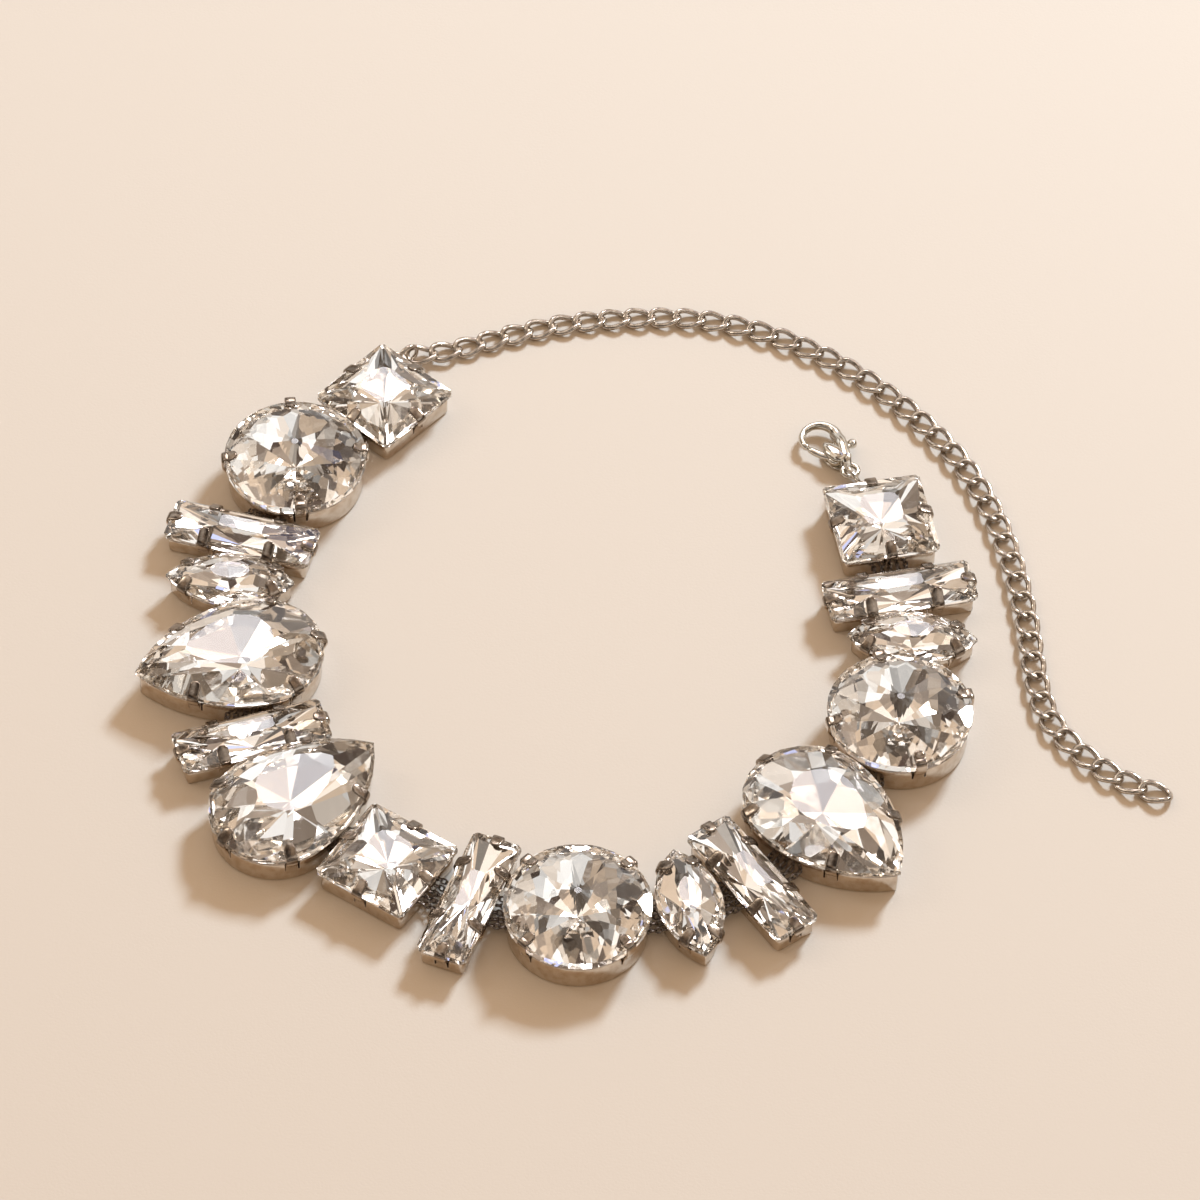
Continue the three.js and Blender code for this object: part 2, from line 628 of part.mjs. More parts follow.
// The eye of the clasp is centred where the ring passes through its thickness
const claspHeight = CLASP.bodyThick / 2;
const drop = (claspHeight - claspRing.middle.z) / claspRing.upward.z;
const eye = claspRing.middle.clone().addScaledVector(claspRing.upward, drop)
  .addScaledVector(claspRing.forward, Math.sqrt(claspRing.radius ** 2 - drop ** 2));
const claspPlace = { x: eye.x, y: eye.y, turn: CLASP.heading };
addPiece("clasp_body", claspBody().translate([0, 0, claspHeight]), PLATED, claspPlace);
addPiece("clasp_lever", lever().translate([0, 0, claspHeight]), PLATED, claspPlace);

// The origin is the middle of the necklace's box, on the surface that it lies on
const box = new THREE.Box3().setFromObject(necklace, true);
const middle = box.getCenter(new THREE.Vector3());
necklace.position.set(-middle.x, -middle.y, -box.min.z);

export default necklace;
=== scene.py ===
"""Looks of a choker necklace: foil-backed cut glass in claw settings, fine chain, curb chain and clasp.

Each sub-assembly is worked out in millimetres in a frame of its own, turned and moved to its place in
the necklace, and written to its mesh in metres, so that every object stays at the origin.
"""
from __future__ import annotations

import itertools
import logging
import math
from dataclasses import dataclass, field
from enum import Enum

import bpy
import numpy as np
from mathutils import Matrix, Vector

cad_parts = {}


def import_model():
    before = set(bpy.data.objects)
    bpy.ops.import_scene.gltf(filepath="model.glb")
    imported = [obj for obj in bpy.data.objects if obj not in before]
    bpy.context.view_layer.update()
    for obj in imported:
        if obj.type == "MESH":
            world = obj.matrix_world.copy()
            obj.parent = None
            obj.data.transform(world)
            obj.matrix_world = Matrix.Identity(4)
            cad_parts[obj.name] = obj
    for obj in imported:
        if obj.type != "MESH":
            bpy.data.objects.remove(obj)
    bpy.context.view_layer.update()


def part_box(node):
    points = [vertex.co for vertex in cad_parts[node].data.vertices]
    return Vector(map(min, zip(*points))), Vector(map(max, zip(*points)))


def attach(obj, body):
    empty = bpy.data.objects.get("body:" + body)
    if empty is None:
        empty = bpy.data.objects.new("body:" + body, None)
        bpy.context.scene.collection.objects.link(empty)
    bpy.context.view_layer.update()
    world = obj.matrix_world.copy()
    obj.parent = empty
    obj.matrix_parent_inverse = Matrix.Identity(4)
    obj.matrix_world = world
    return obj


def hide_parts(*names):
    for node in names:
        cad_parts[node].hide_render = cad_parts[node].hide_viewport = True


log = logging.getLogger("necklace")

Array = np.ndarray
# Points and the corner numbers of the faces between them
Skin = tuple[Array, list[list[int]]]
# One millimetre in Blender's metres
METRE = 0.001
BODY = "necklace"
LEVER_BODY = "lever"
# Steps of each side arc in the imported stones' outlines
CAD_STEPS = 4
ALONG_X = np.array([1.0, 0.0, 0.0])
ALONG_Y = np.array([0.0, 1.0, 0.0])
UP = np.array([0.0, 0.0, 1.0])


# Colour and nodes


# Noise values between which a finish's gloss runs from one end to the other
GRAIN_SPAN = (0.3, 0.7)
# The same for its colour, on a pattern this many times as coarse
SHADE_SPAN = (0.4, 0.75)
SHADE_SCALE = 0.3


def linear(code: str) -> tuple[float, float, float, float]:
    """Turns an sRGB hex colour into linear red, green, blue and a full alpha.

    This is the sRGB standard's own curve: a straight line near black and a power of 2.4 above it.

    Args:
        code: Six hex digits after a hash.

    Returns:
        The colour that a shader socket takes.
    """
    values = [int(code[i:i + 2], 16) / 255 for i in (1, 3, 5)]
    red, green, blue = (v / 12.92 if v <= 0.04045 else ((v + 0.055) / 1.055) ** 2.4 for v in values)
    return red, green, blue, 1.0


def add_node(tree: bpy.types.NodeTree, kind: str, settings: dict | None = None,
             inputs: dict | None = None) -> bpy.types.Node:
    """Adds one node with its settings, and sets or links its inputs.

    Args:
        tree: The node tree.
        kind: The node's type name.
        settings: Attributes to set on the node.
        inputs: Values by input name or number; a socket is linked.

    Returns:
        The new node.
    """
    node = tree.nodes.new(kind)
    for name, value in (settings or {}).items():
        setattr(node, name, value)
    for name, value in (inputs or {}).items():
        if isinstance(value, bpy.types.NodeSocket):
            tree.links.new(value, node.inputs[name])
        else:
            node.inputs[name].default_value = value
    return node


@dataclass(frozen=True)
class Finish:
    """A surface finish: one shader, with a fine unevenness in its gloss and its relief.

    The grain is the size of the unevenness in millimetres, the spread is how far it moves the
    roughness, and the relief is its height in millimetres. The shade is a second colour that
    shows in broader patches.
    """

    name: str
    colour: str
    roughness: float
    metallic: float = 0.0
    transmission: float = 0.0
    ior: float = 1.5
    grain: float = 1.0
    spread: float = 0.05
    relief: float = 0.0
    shade: str | None = None

    def make(self) -> bpy.types.Material:
        """Builds the material the first time that it is asked for.

        Returns:
            The material, named for the finish.
        """
        known = bpy.data.materials.get(self.name)
        if known:
            return known
        material = bpy.data.materials.new(self.name)
        material.use_nodes = True
        tree = material.node_tree
        tree.nodes.clear()
        place = add_node(tree, "ShaderNodeTexCoord").outputs["Object"]
        fineness = 1 / (self.grain * METRE)
        noise = add_node(tree, "ShaderNodeTexNoise", inputs={
            "Vector": place, "Scale": fineness, "Detail": 4.0})
        gloss = add_node(tree, "ShaderNodeMapRange", inputs={
            "Value": noise.outputs["Fac"], "From Min": GRAIN_SPAN[0], "From Max": GRAIN_SPAN[1],
            "To Min": max(self.roughness - self.spread, 0.0), "To Max": self.roughness + self.spread})
        shader = add_node(tree, "ShaderNodeBsdfPrincipled", inputs={
            "Base Color": linear(self.colour), "Roughness": gloss.outputs["Result"],
            "Metallic": self.metallic, "Transmission Weight": self.transmission, "IOR": self.ior})
        if self.shade:
            # A broader pattern than the grain moves the colour towards the shade
            broad = add_node(tree, "ShaderNodeTexNoise", inputs={
                "Vector": place, "Scale": SHADE_SCALE * fineness, "Detail": 3.0})
            ramp = add_node(tree, "ShaderNodeMapRange", inputs={
                "Value": broad.outputs["Fac"], "From Min": SHADE_SPAN[0], "From Max": SHADE_SPAN[1]})
            mix = add_node(tree, "ShaderNodeMix", {"data_type": "RGBA"}, inputs={
                0: ramp.outputs["Result"], 6: linear(self.colour), 7: linear(self.shade)})
            tree.links.new(mix.outputs[2], shader.inputs["Base Color"])
        if self.relief:
            bump = add_node(tree, "ShaderNodeBump", inputs={
                "Height": noise.outputs["Fac"], "Distance": self.relief * METRE, "Strength": 1.0})
            tree.links.new(bump.outputs["Normal"], shader.inputs["Normal"])
        add_node(tree, "ShaderNodeOutputMaterial", inputs={"Surface": shader.outputs["BSDF"]})
        return material


# Machine-cut crystal glass, polished: clear, with a faint bloom from handling
CRYSTAL = Finish("machine_cut_crystal", "#fdfefe", 0.012, transmission=1.0, ior=1.56, grain=3.0,
                 spread=0.012)
# Silver foil laid on the back of the glass: a mirror with a slight unevenness
FOIL = Finish("silver_foil_backing", "#f6f3ef", 0.03, metallic=1.0, grain=0.8, spread=0.025)
# Stamped brass with bright nickel plating: warm reflections, softly uneven as rolled sheet is
STAMPED = Finish("plated_stamped_brass", "#d8cdc0", 0.15, metallic=1.0, grain=0.35, spread=0.08,
                 relief=0.012, shade="#bfae9c")
# The claws of the same sheet, painted darker where they fold over the stones: a shaded copy of the plating,
# which is painted shade
SHADED_CLAW_PLATING = Finish("painted_shade_claw_plating", "#94877a", 0.17, metallic=1.0, grain=0.3, spread=0.08,
                   relief=0.01, shade="#6f6459")
# Curb chain wire, plated duller and browner than the settings
WIRE = Finish("plated_chain_wire", "#cabfb2", 0.17, metallic=1.0, grain=0.25, spread=0.08,
              relief=0.008, shade="#94877a")
# Fine chain wire painted dark: painted shade for the shadow that it lies in between the settings and in the
# small gaps between its links
SHADED_FINE_WIRE = Finish("painted_shade_fine_chain_wire", "#7d756f", 0.25, metallic=1.0, grain=0.2, spread=0.1)
# Die-cast zinc with bright plating: rounded, mirror-like, with slight ripples
CAST = Finish("plated_die_casting", "#d3cdc2", 0.13, metallic=1.0, grain=0.6, spread=0.06, relief=0.01,
              shade="#c2b9aa")
# Heavy craft paper that the necklace lies on
PAPER = Finish("warm_craft_paper", "#c8c0b7", 0.85, grain=0.4, spread=0.05, relief=0.02)


# Meshes


@dataclass
class Form:
    """A mesh in the making: blocks of points in millimetres with their faces and finish numbers."""

    points: list[Array] = field(default_factory=list)
    faces: list[list[int]] = field(default_factory=list)
    finishes: list[int] = field(default_factory=list)
    smooth: list[bool] = field(default_factory=list)
    count: int = 0

    def add(self, points: Array, faces: list[list[int]], finish: int | Array = 0,
            smooth: bool = True) -> Form:
        """Adds a block of points and the faces between them.

        Args:
            points: Points, one row each.
            faces: Corner numbers of each face, counted from this block's first point.
            finish: Number of the finish in the piece's list, or one for each face.
            smooth: Whether the faces are shaded smooth.

        Returns:
            The form itself.
        """
        self.points.append(points)
        self.faces.extend([[corner + self.count for corner in face] for face in faces])
        self.finishes.extend(np.broadcast_to(finish, (len(faces),)).tolist())
        self.smooth.extend([smooth] * len(faces))
        self.count += len(points)
        return self

    def join(self, other: Form) -> Form:
        """Adds all the blocks of another form.

        Args:
            other: The form whose blocks are taken.

        Returns:
            The form itself.
        """
        self.faces.extend([[corner + self.count for corner in face] for face in other.faces])
        self.points.extend(other.points)
        self.finishes.extend(other.finishes)
        self.smooth.extend(other.smooth)
        self.count += other.count
        return self

    def moved(self, place: Place) -> Form:
        """Turns and moves every point from a piece's own frame to the necklace's."""
        self.points = [place.apply(block) for block in self.points]
        return self

    def piece(self, name: str, finishes: list[Finish]) -> bpy.types.Object:
        """Makes the object, with its place in its mesh.

        Args:
            name: The piece's name.
            finishes: The finishes that the faces' numbers stand for.

        Returns:
            The new object, at the origin.
        """
        mesh = bpy.data.meshes.new(name)
        mesh.from_pydata(np.concatenate(self.points) * METRE, [], self.faces)
        for finish in finishes:
            mesh.materials.append(finish.make())
        mesh.polygons.foreach_set("material_index", np.array(self.finishes, np.int32))
        mesh.polygons.foreach_set("use_smooth", np.array(self.smooth, bool))
        mesh.validate()
        mesh.update()
        made = bpy.data.objects.new(name, mesh)
        bpy.context.scene.collection.objects.link(made)
        log.info("%s: %d faces", name, len(mesh.polygons))
        return made


@dataclass(frozen=True)
class Place:
    """Where a piece stands: its own origin's place in the necklace, and its turn in degrees."""

    x: float
    y: float
    turn: float = 0.0
    z: float = 0.0

    def apply(self, points: Array) -> Array:
        """Rotates points about the upright axis and moves them.

        Args:
            points: Points with two or three coordinates, one row each.

        Returns:
            The points in the necklace's frame.
        """
        angle = math.radians(self.turn)
        cos, sin = math.cos(angle), math.sin(angle)
        x, y = points[:, 0], points[:, 1]
        moved = np.stack([self.x + x * cos - y * sin, self.y + x * sin + y * cos], 1)
        if points.shape[1] == 2:
            return moved
        return np.column_stack([moved, points[:, 2] + self.z])


def unit(vectors: Array) -> Array:
    """Scales each row to length one."""
    return vectors / np.linalg.norm(vectors, axis=-1, keepdims=True)


def skin(rings: Array, wraps: bool) -> Skin:
    """Joins rings of points into a closed surface that faces outwards.

    Face (i, j) runs between points j and j + 1 of rings i and i + 1. The signed volume, a sixth of
    the sum of each triangle's triple product, tells whether the faces have to be turned round.

    Args:
        rings: Array of rings, points in a ring, three coordinates.
        wraps: Whether the last ring joins the first. If not, a face closes each of the two.

    Returns:
        Points and faces.
    """
    rows, columns = rings.shape[:2]
    i = np.arange(rows if wraps else rows - 1)[:, None]
    j = np.arange(columns)[None, :]
    here, after = i * columns, ((i + 1) % rows) * columns
    right = (j + 1) % columns
    quads = np.stack([here + j, here + right, after + right, after + j], -1).reshape(-1, 4)
    points = rings.reshape(-1, 3)
    corners = points[quads] - points.mean(0)
    volume = np.einsum("ij,ij->i", corners[:, 0], np.cross(corners[:, 1], corners[:, 2])).sum()
    volume += np.einsum("ij,ij->i", corners[:, 0], np.cross(corners[:, 2], corners[:, 3])).sum()
    faces = quads.tolist()
    if not wraps:
        faces += [list(range(columns))[::-1], [(rows - 1) * columns + k for k in range(columns)]]
    if volume < 0:
        faces = [face[::-1] for face in faces]
    return points, faces


def tube(path: Array, radius: float | Array, sides: int, reference: Array, wraps: bool = False,
         flatten: float = 1.0) -> Skin:
    """Carries a round or oval section along a path.

    At each point of the path the section lies across the tangent: one half-axis is the reference
    direction made square to the tangent, and the other is square to both.

    Args:
        path: Points of the centre line.
        radius: One radius, or one for each point.
        sides: Points round the section.
        reference: A direction, or one for each point, roughly square to the path.
        wraps: Whether the path closes on itself.
        flatten: The second half-axis as a share of the first.

    Returns:
        Points and faces.
    """
    if wraps:
        tangent = unit(np.roll(path, -1, 0) - np.roll(path, 1, 0))
    else:
        tangent = unit(np.gradient(path, axis=0))
    first = np.broadcast_to(reference, path.shape).astype(float)
    first = unit(first - (first * tangent).sum(1, keepdims=True) * tangent)
    second = np.cross(tangent, first)
    angle = np.linspace(0, 2 * np.pi, sides, endpoint=False)[None, :, None]
    size = np.broadcast_to(radius, (len(path),))[:, None, None]
    section = np.cos(angle) * first[:, None] + flatten * np.sin(angle) * second[:, None]
    return skin(path[:, None] + size * section, wraps)


def eased(path: Array, times: int = 2) -> Array:
    """Rounds a path by cutting its corners.

    Each span is replaced by its points at a quarter and at three quarters, and the ends stay.

    Args:
        path: Points of the path.
        times: How many times the corners are cut.

    Returns:
        The points of the rounded path.
    """
    for _ in range(times):
        start, end = path[:-1], path[1:]
        cuts = np.stack([0.75 * start + 0.25 * end, 0.25 * start + 0.75 * end], 1)
        path = np.concatenate([path[:1], cuts.reshape(-1, path.shape[1]), path[-1:]])
    return path


def facets(planes: Array) -> tuple[Array, list[list[int]], Array]:
    """Faces of the solid that lies behind every one of a set of planes.

    Every three planes meet in a point, worked out by Cramer's rule. The points that lie behind all
    the planes are the solid's corners, and the corners that lie on a plane, sorted by their angle
    about their middle, are its face.

    Args:
        planes: Rows of an outward normal of length one and the plane's distance from the origin.

    Returns:
        Corners, the faces, and the outward direction of each face.
    """
    # Three planes whose normals' triple product is smaller than this have no point in common
    parallel = 1e-6
    # How far a point may stand out from a plane that it lies behind, and off a plane that it lies on
    behind, on_plane = 1e-6, 3e-5
    # The points are tested in this many blocks, which saves memory
    blocks = 40
    _, first = np.unique(np.round(planes, 4), axis=0, return_index=True)
    planes = planes[np.sort(first)]
    normals, offsets = planes[:, :3], planes[:, 3]
    triples = np.array(list(itertools.combinations(range(len(planes)), 3)))
    a, b, c = (normals[triples[:, k]] for k in range(3))
    across = np.cross(b, c)
    scale = np.einsum("ij,ij->i", a, across)
    meets = np.abs(scale) > parallel
    triples, a, b, c, across, scale = (v[meets] for v in (triples, a, b, c, across, scale))
    spots = (offsets[triples[:, 0], None] * across + offsets[triples[:, 1], None] * np.cross(c, a)
             + offsets[triples[:, 2], None] * np.cross(a, b)) / scale[:, None]
    kept = [block[(block @ normals.T <= offsets + behind).all(1)]
            for block in np.array_split(spots, blocks)]
    corners = np.unique(np.round(np.concatenate(kept), 5), axis=0)
    faces, ways = [], []
    for normal, offset in zip(normals, offsets):
        on = np.flatnonzero(np.abs(corners @ normal - offset) < on_plane)
        if len(on) < 3:
            continue
        arm = corners[on] - corners[on].mean(0)
        side = unit(np.cross(normal, arm[np.argmax(np.linalg.norm(arm, axis=1))]))
        order = np.argsort(np.arctan2(arm @ side, arm @ np.cross(side, normal)))
        faces.append(on[order].tolist())
        ways.append(normal)
    return corners, faces, np.array(ways)


# Stones


class Kind(Enum):
    """The shapes of cut stone on the necklace."""

    SQUARE = "square"
    ROUND = "round"
    BAGUETTE = "baguette"
    NAVETTE = "navette"
    PEAR = "pear"


@dataclass(frozen=True)
class Cut:
    """How one kind of stone is cut, in millimetres and degrees.

    The girdle is the height of its lower edge above the surface, the band its height, the crown
    the height above it, the table a share of the outline, and the bevel the slope at the girdle.
    The mains are the number of long facets on the crown, the backs that on the foiled side, and the
    steps that of straight pieces in each side arc. The corner is how much is cut off the corners of
    straight-sided stones. The culet is the height of the lowest point and its shift that point's
    place along X. The main shift turns the mains by a share of their spacing, and the star is
    where the facets between the mains meet the table, as a share of its reach.
    """

    kind: Kind
    length: float
    width: float
    girdle: float
    band: float
    crown: float
    table: float
    bevel: float
    mains: int = 8
    steps: int = 8
    culet: float = 0.9
    culet_shift: float = 0.0
    corner: float = 0.5
    main_shift: float = 0.0
    star: float = 0.9
    backs: int = 16

    def outline(self, steps: int | None = None) -> Array:
        """Corner points of the outline, anticlockwise, the stone's length along X.

        Side arcs start square to the axis at the widest place and meet in a tip.

        Args:
            steps: Steps of each side arc.

        Returns:
            Points in plan.
        """
        steps = steps or self.steps
        half, radius = self.length / 2, self.width / 2
        if self.kind in (Kind.SQUARE, Kind.BAGUETTE):
            ends = np.array([[half, radius - self.corner], [half - self.corner, radius]])
            return np.concatenate([ends, ends[::-1] * [-1, 1], ends * -1, ends[::-1] * [1, -1]])
        if self.kind is Kind.ROUND:
            angle = 2 * np.pi * (np.arange(steps * 4) + 0.5) / (steps * 4)
            return half * np.stack([np.cos(angle), np.sin(angle)], 1)
        widest = -half + radius if self.kind is Kind.PEAR else 0.0
        reach = half - widest
        arc = (reach**2 + radius**2) / (2 * radius)
        angle = np.linspace(0, math.asin(reach / arc), steps + 1)
        side = np.stack([widest + arc * np.sin(angle), arc * (np.cos(angle) - 1) + radius], 1)
        upper = side[:-1][::-1]
        if self.kind is Kind.PEAR:
            turn = np.pi / 2 + np.pi * np.arange(1, steps + 2) / (steps + 2)
            back = np.stack([widest + radius * np.cos(turn), radius * np.sin(turn)], 1)
            return np.concatenate([[[half, 0.0]], upper, back, side[:-1] * [1, -1]])
        return np.concatenate([[[half, 0.0]], upper, side[1:-1] * [-1, 1], [[-half, 0.0]],
                               upper * [-1, -1], side[1:-1] * [1, -1]])


@dataclass(frozen=True)
class Rim:
    """An outline's edges as lines, from which it can be moved inwards.

    The softness is how far the moved outline's corners are rounded, in millimetres.
    """

    points: Array
    softness: float = 0.05

    @property
    def normals(self) -> Array:
        """Outward directions of the edges."""
        run = unit(np.roll(self.points, -1, 0) - self.points)
        return np.stack([run[:, 1], -run[:, 0]], 1)

    @property
    def offsets(self) -> Array:
        """Distances of the edges from the origin."""
        return (self.normals * self.points).sum(1)

    def reach(self, azimuth: Array) -> Array:
        """The outline's greatest extent in each direction in plan."""
        way = np.stack([np.cos(azimuth), np.sin(azimuth)], -1)
        return (way @ self.points.T).max(-1)

    def radius(self, angle: Array, inset: float | Array) -> Array:
        """Distance from the origin to the outline moved inwards, along each direction.

        Each edge's line is met at (offset - inset) / cos(angle to its normal). A soft minimum,
        minus the softness times the logarithm of the summed exponentials, rounds the corners.

        Args:
            angle: Directions in plan, in radians.
            inset: How far the outline is moved inwards, one or one for each direction.

        Returns:
            The distances.
        """
        # An edge seen at a smaller cosine than this is never met, so it counts as far away
        least_facing, far = 0.02, 1e3
        facing = np.stack([np.cos(angle), np.sin(angle)], -1) @ self.normals.T
        ahead = facing > least_facing
        inset = np.broadcast_to(inset, np.shape(angle))
        met = np.where(ahead, (self.offsets - inset[..., None]) / np.where(ahead, facing, 1.0), far)
        least = met.min(-1, keepdims=True)
        return least[..., 0] - self.softness * np.log(np.exp(-(met - least) / self.softness).sum(-1))

    def along(self, distances: Array) -> tuple[Array, Array]:
        """Finds points on the outline.

        Args:
            distances: How far each point lies along the outline.

        Returns:
            The points, and the number of the edge that each lies on.
        """
        sizes = self.sizes
        marks = np.concatenate([[0.0], np.cumsum(sizes)])
        distances = np.mod(distances, marks[-1])
        edge = np.clip(np.searchsorted(marks, distances, "right") - 1, 0, len(sizes) - 1)
        share = ((distances - marks[edge]) / sizes[edge])[:, None]
        return self.points[edge] * (1 - share) + np.roll(self.points, -1, 0)[edge] * share, edge

    @property
    def sizes(self) -> Array:
        """Lengths of the edges."""
        return np.linalg.norm(np.roll(self.points, -1, 0) - self.points, axis=1)

    @property
    def length(self) -> float:
        """The way round the outline."""
        return float(self.sizes.sum())

    def nearest(self, spot: Array) -> tuple[Array, Array, float]:
        """Finds the outline's point nearest to a spot.

        Args:
            spot: A point in plan.

        Returns:
            The nearest point, the outward direction there, and its distance along the outline.
        """
        after = np.roll(self.points, -1, 0)
        run = after - self.points
        share = np.clip(((spot - self.points) * run).sum(1) / (run**2).sum(1), 0, 1)
        feet = self.points + share[:, None] * run
        best = int(np.argmin(np.linalg.norm(feet - spot, axis=1)))
        sizes = self.sizes
        return feet[best], self.normals[best], float(sizes[:best].sum() + share[best] * sizes[best])


@dataclass(frozen=True)
class CutStone:
    """A stone with a table, a faceted crown, a girdle band and a foiled back of facets.

    The star slope is a share of the mains' own. The back bevel is the steep row's slope in degrees
    and the back drop its depth in millimetres. A back fan is a turn in radians from each side of a
    straight-sided stone, with the share of the full slope that its facet has. A round's extra row
    has the share of the radius where it starts, its slope as a multiple of the mains', its turn as
    a share of their spacing, and its drop in millimetres.
    """

    cut: Cut
    star_slope: float = 0.55
    back_bevel: float = 43.0
    back_drop: float = 0.8
    back_shares: tuple[float, float] = (0.93, 1.0)
    back_fans: tuple[tuple[float, float], ...] = (
        (0.0, 1.0), (0.3, 0.95), (-0.3, 0.95), (0.6, 0.885), (-0.6, 0.885))
    round_rows: tuple[tuple[float, float, float, float], ...] = (
        (0.66, 1.3, 0.5, 0.0), (0.84, 1.65, 0.0, 0.14), (0.92, 2.0, 0.25, 0.0), (0.92, 2.0, 0.75, 0.0))

    def azimuths(self, count: int, offset: float = 0.0) -> Array:
        """Directions in plan spread round the outline by its proportions."""
        angle = 2 * np.pi * (np.arange(count) + offset) / count
        return np.arctan2(self.cut.length * np.sin(angle), self.cut.width * np.cos(angle))

    @staticmethod
    def sloped(azimuth: Array, distance: Array, height: float, slope: Array, up: int = 1) -> Array:
        """Planes that pass a plan distance at a height and climb inwards at a slope.

        A normal is (sine of the slope) times the way in plan, with the cosine of the slope upright.

        Args:
            azimuth: Directions in plan that the planes face.
            distance: Plan distances from the origin.
            height: Height at which the planes pass those distances.
            slope: Slopes in radians.
            up: 1 for planes that face upwards, -1 for downwards.

        Returns:
            Rows of a normal and an offset.
        """
        slope = np.broadcast_to(slope, azimuth.shape)
        flat = np.sin(slope)
        normal = np.stack([np.cos(azimuth) * flat, np.sin(azimuth) * flat, up * np.cos(slope)], 1)
        return np.column_stack([normal, distance * flat + up * np.cos(slope) * height])

    def crown_planes(self, rim: Rim) -> Array:
        """Works out the crown's planes.

        Args:
            rim: The stone's outline.

        Returns:
            Planes of the table, mains, bevels along the girdle, the girdle's own sides, and stars.
        """
        cut = self.cut
        edge, top = cut.girdle + cut.band, cut.girdle + cut.band + cut.crown
        mains = self.azimuths(cut.mains, cut.main_shift)
        reach = rim.reach(mains)
        main_slope = np.arctan2(cut.crown, reach * (1 - cut.table))
        walls = np.arctan2(rim.normals[:, 1], rim.normals[:, 0])
        rows = [
            np.array([[0, 0, 1.0, top], [0, 0, -1.0, -cut.girdle]]),
            self.sloped(mains, reach, edge, main_slope),
            self.sloped(walls, rim.offsets, edge, math.radians(cut.bevel)),
            np.column_stack([rim.normals, np.zeros(len(walls)), rim.offsets]),
        ]
        if cut.kind is Kind.ROUND:
            # Rows of short facets between the long ones and the girdle
            for share, slope, shift, drop in self.round_rows:
                around = self.azimuths(cut.mains, shift)
                height = edge + math.tan(main_slope[0]) * (1 - share) * cut.width / 2 - drop
                rows.append(self.sloped(around, share * rim.reach(around), height, slope * main_slope[0]))
        else:
            between = self.azimuths(cut.mains, 0.5 - cut.main_shift)
            corner = cut.table * rim.reach(between) / math.cos(math.pi / cut.mains) ** 0.5
            rows.append(self.sloped(between, cut.star * corner, top, self.star_slope * main_slope.min()))
        return np.concatenate(rows)

    def crown_height(self, spots: Array) -> Array:
        """Height of the crown over spots in plan: the lowest of the planes that face upwards.

        Args:
            spots: Points in plan.

        Returns:
            Heights above the surface.
        """
        # The girdle's sides and the underside face less upwards than this
        least_upward = 0.05
        planes = self.crown_planes(Rim(self.cut.outline()))
        planes = planes[planes[:, 2] > least_upward]
        return ((planes[:, 3] - spots @ planes[:, :2].T) / planes[:, 2]).min(-1)

    def back_planes(self, rim: Rim) -> Array:
        """Mains that meet in a point below the middle, and a steep row along the girdle.

        A main is the plane z = culet + depth times the share of the way from the culet to the
        outline, and its depth is the back's less the drop of the steep row.

        Args:
            rim: The stone's outline.

        Returns:
            Planes of the top, the mains and the steep row.
        """
        cut = self.cut
        depth = cut.girdle - cut.culet - self.back_drop
        walls = np.arctan2(rim.normals[:, 1], rim.normals[:, 0])
        if cut.kind in (Kind.SQUARE, Kind.BAGUETTE):
            turns = np.arange(4) * np.pi / 2
            angle = np.concatenate([turns + fan for fan, _ in self.back_fans])
            share = np.repeat([share for _, share in self.back_fans], 4)
            climb = np.stack([np.cos(angle) / cut.length, np.sin(angle) / cut.width], 1) * 2
        else:
            angle = self.azimuths(cut.backs, 0.5)
            way = np.stack([np.cos(angle), np.sin(angle)], 1)
            share = np.array(self.back_shares)[np.arange(cut.backs) % 2]
            climb = way / (rim.reach(angle) - way[:, 0] * cut.culet_shift)[:, None]
        climb = climb * share[:, None] * depth
        size = np.sqrt((climb**2).sum(1) + 1)
        mains = np.column_stack([climb, -np.ones(len(climb)), -cut.culet + climb[:, 0] * cut.culet_shift])
        return np.concatenate([
            np.array([[0, 0, 1.0, cut.girdle]]),
            mains / size[:, None],
            self.sloped(walls, rim.offsets, cut.girdle, math.radians(self.back_bevel), -1),
        ])

    def form(self) -> Form:
        """Makes the stone: glass above the girdle's lower edge, foil below it.

        Returns:
            The stone in its own frame.
        """
        level = 0.9999
        rim = Rim(self.cut.outline())
        blocks, joined, finishes = [], [], []
        for finish, planes in enumerate((self.crown_planes(rim), self.back_planes(rim))):
            corners, faces, ways = facets(planes)
            # The crown has no underside and the back no top, so that the two close one solid
            open_side = (-1, 1)[finish]
            kept = [face for face, way in zip(faces, ways) if way[2] * open_side < level]
            count = sum(len(block) for block in blocks)
            blocks.append(corners)
            joined += [[corner + count for corner in face] for face in kept]
            finishes += [finish] * len(kept)
        corners, number = np.unique(np.round(np.concatenate(blocks), 4), axis=0, return_inverse=True)
        joined = [number.ravel()[face].tolist() for face in joined]
        return Form().add(corners, joined, np.array(finishes), smooth=False)


# Settings


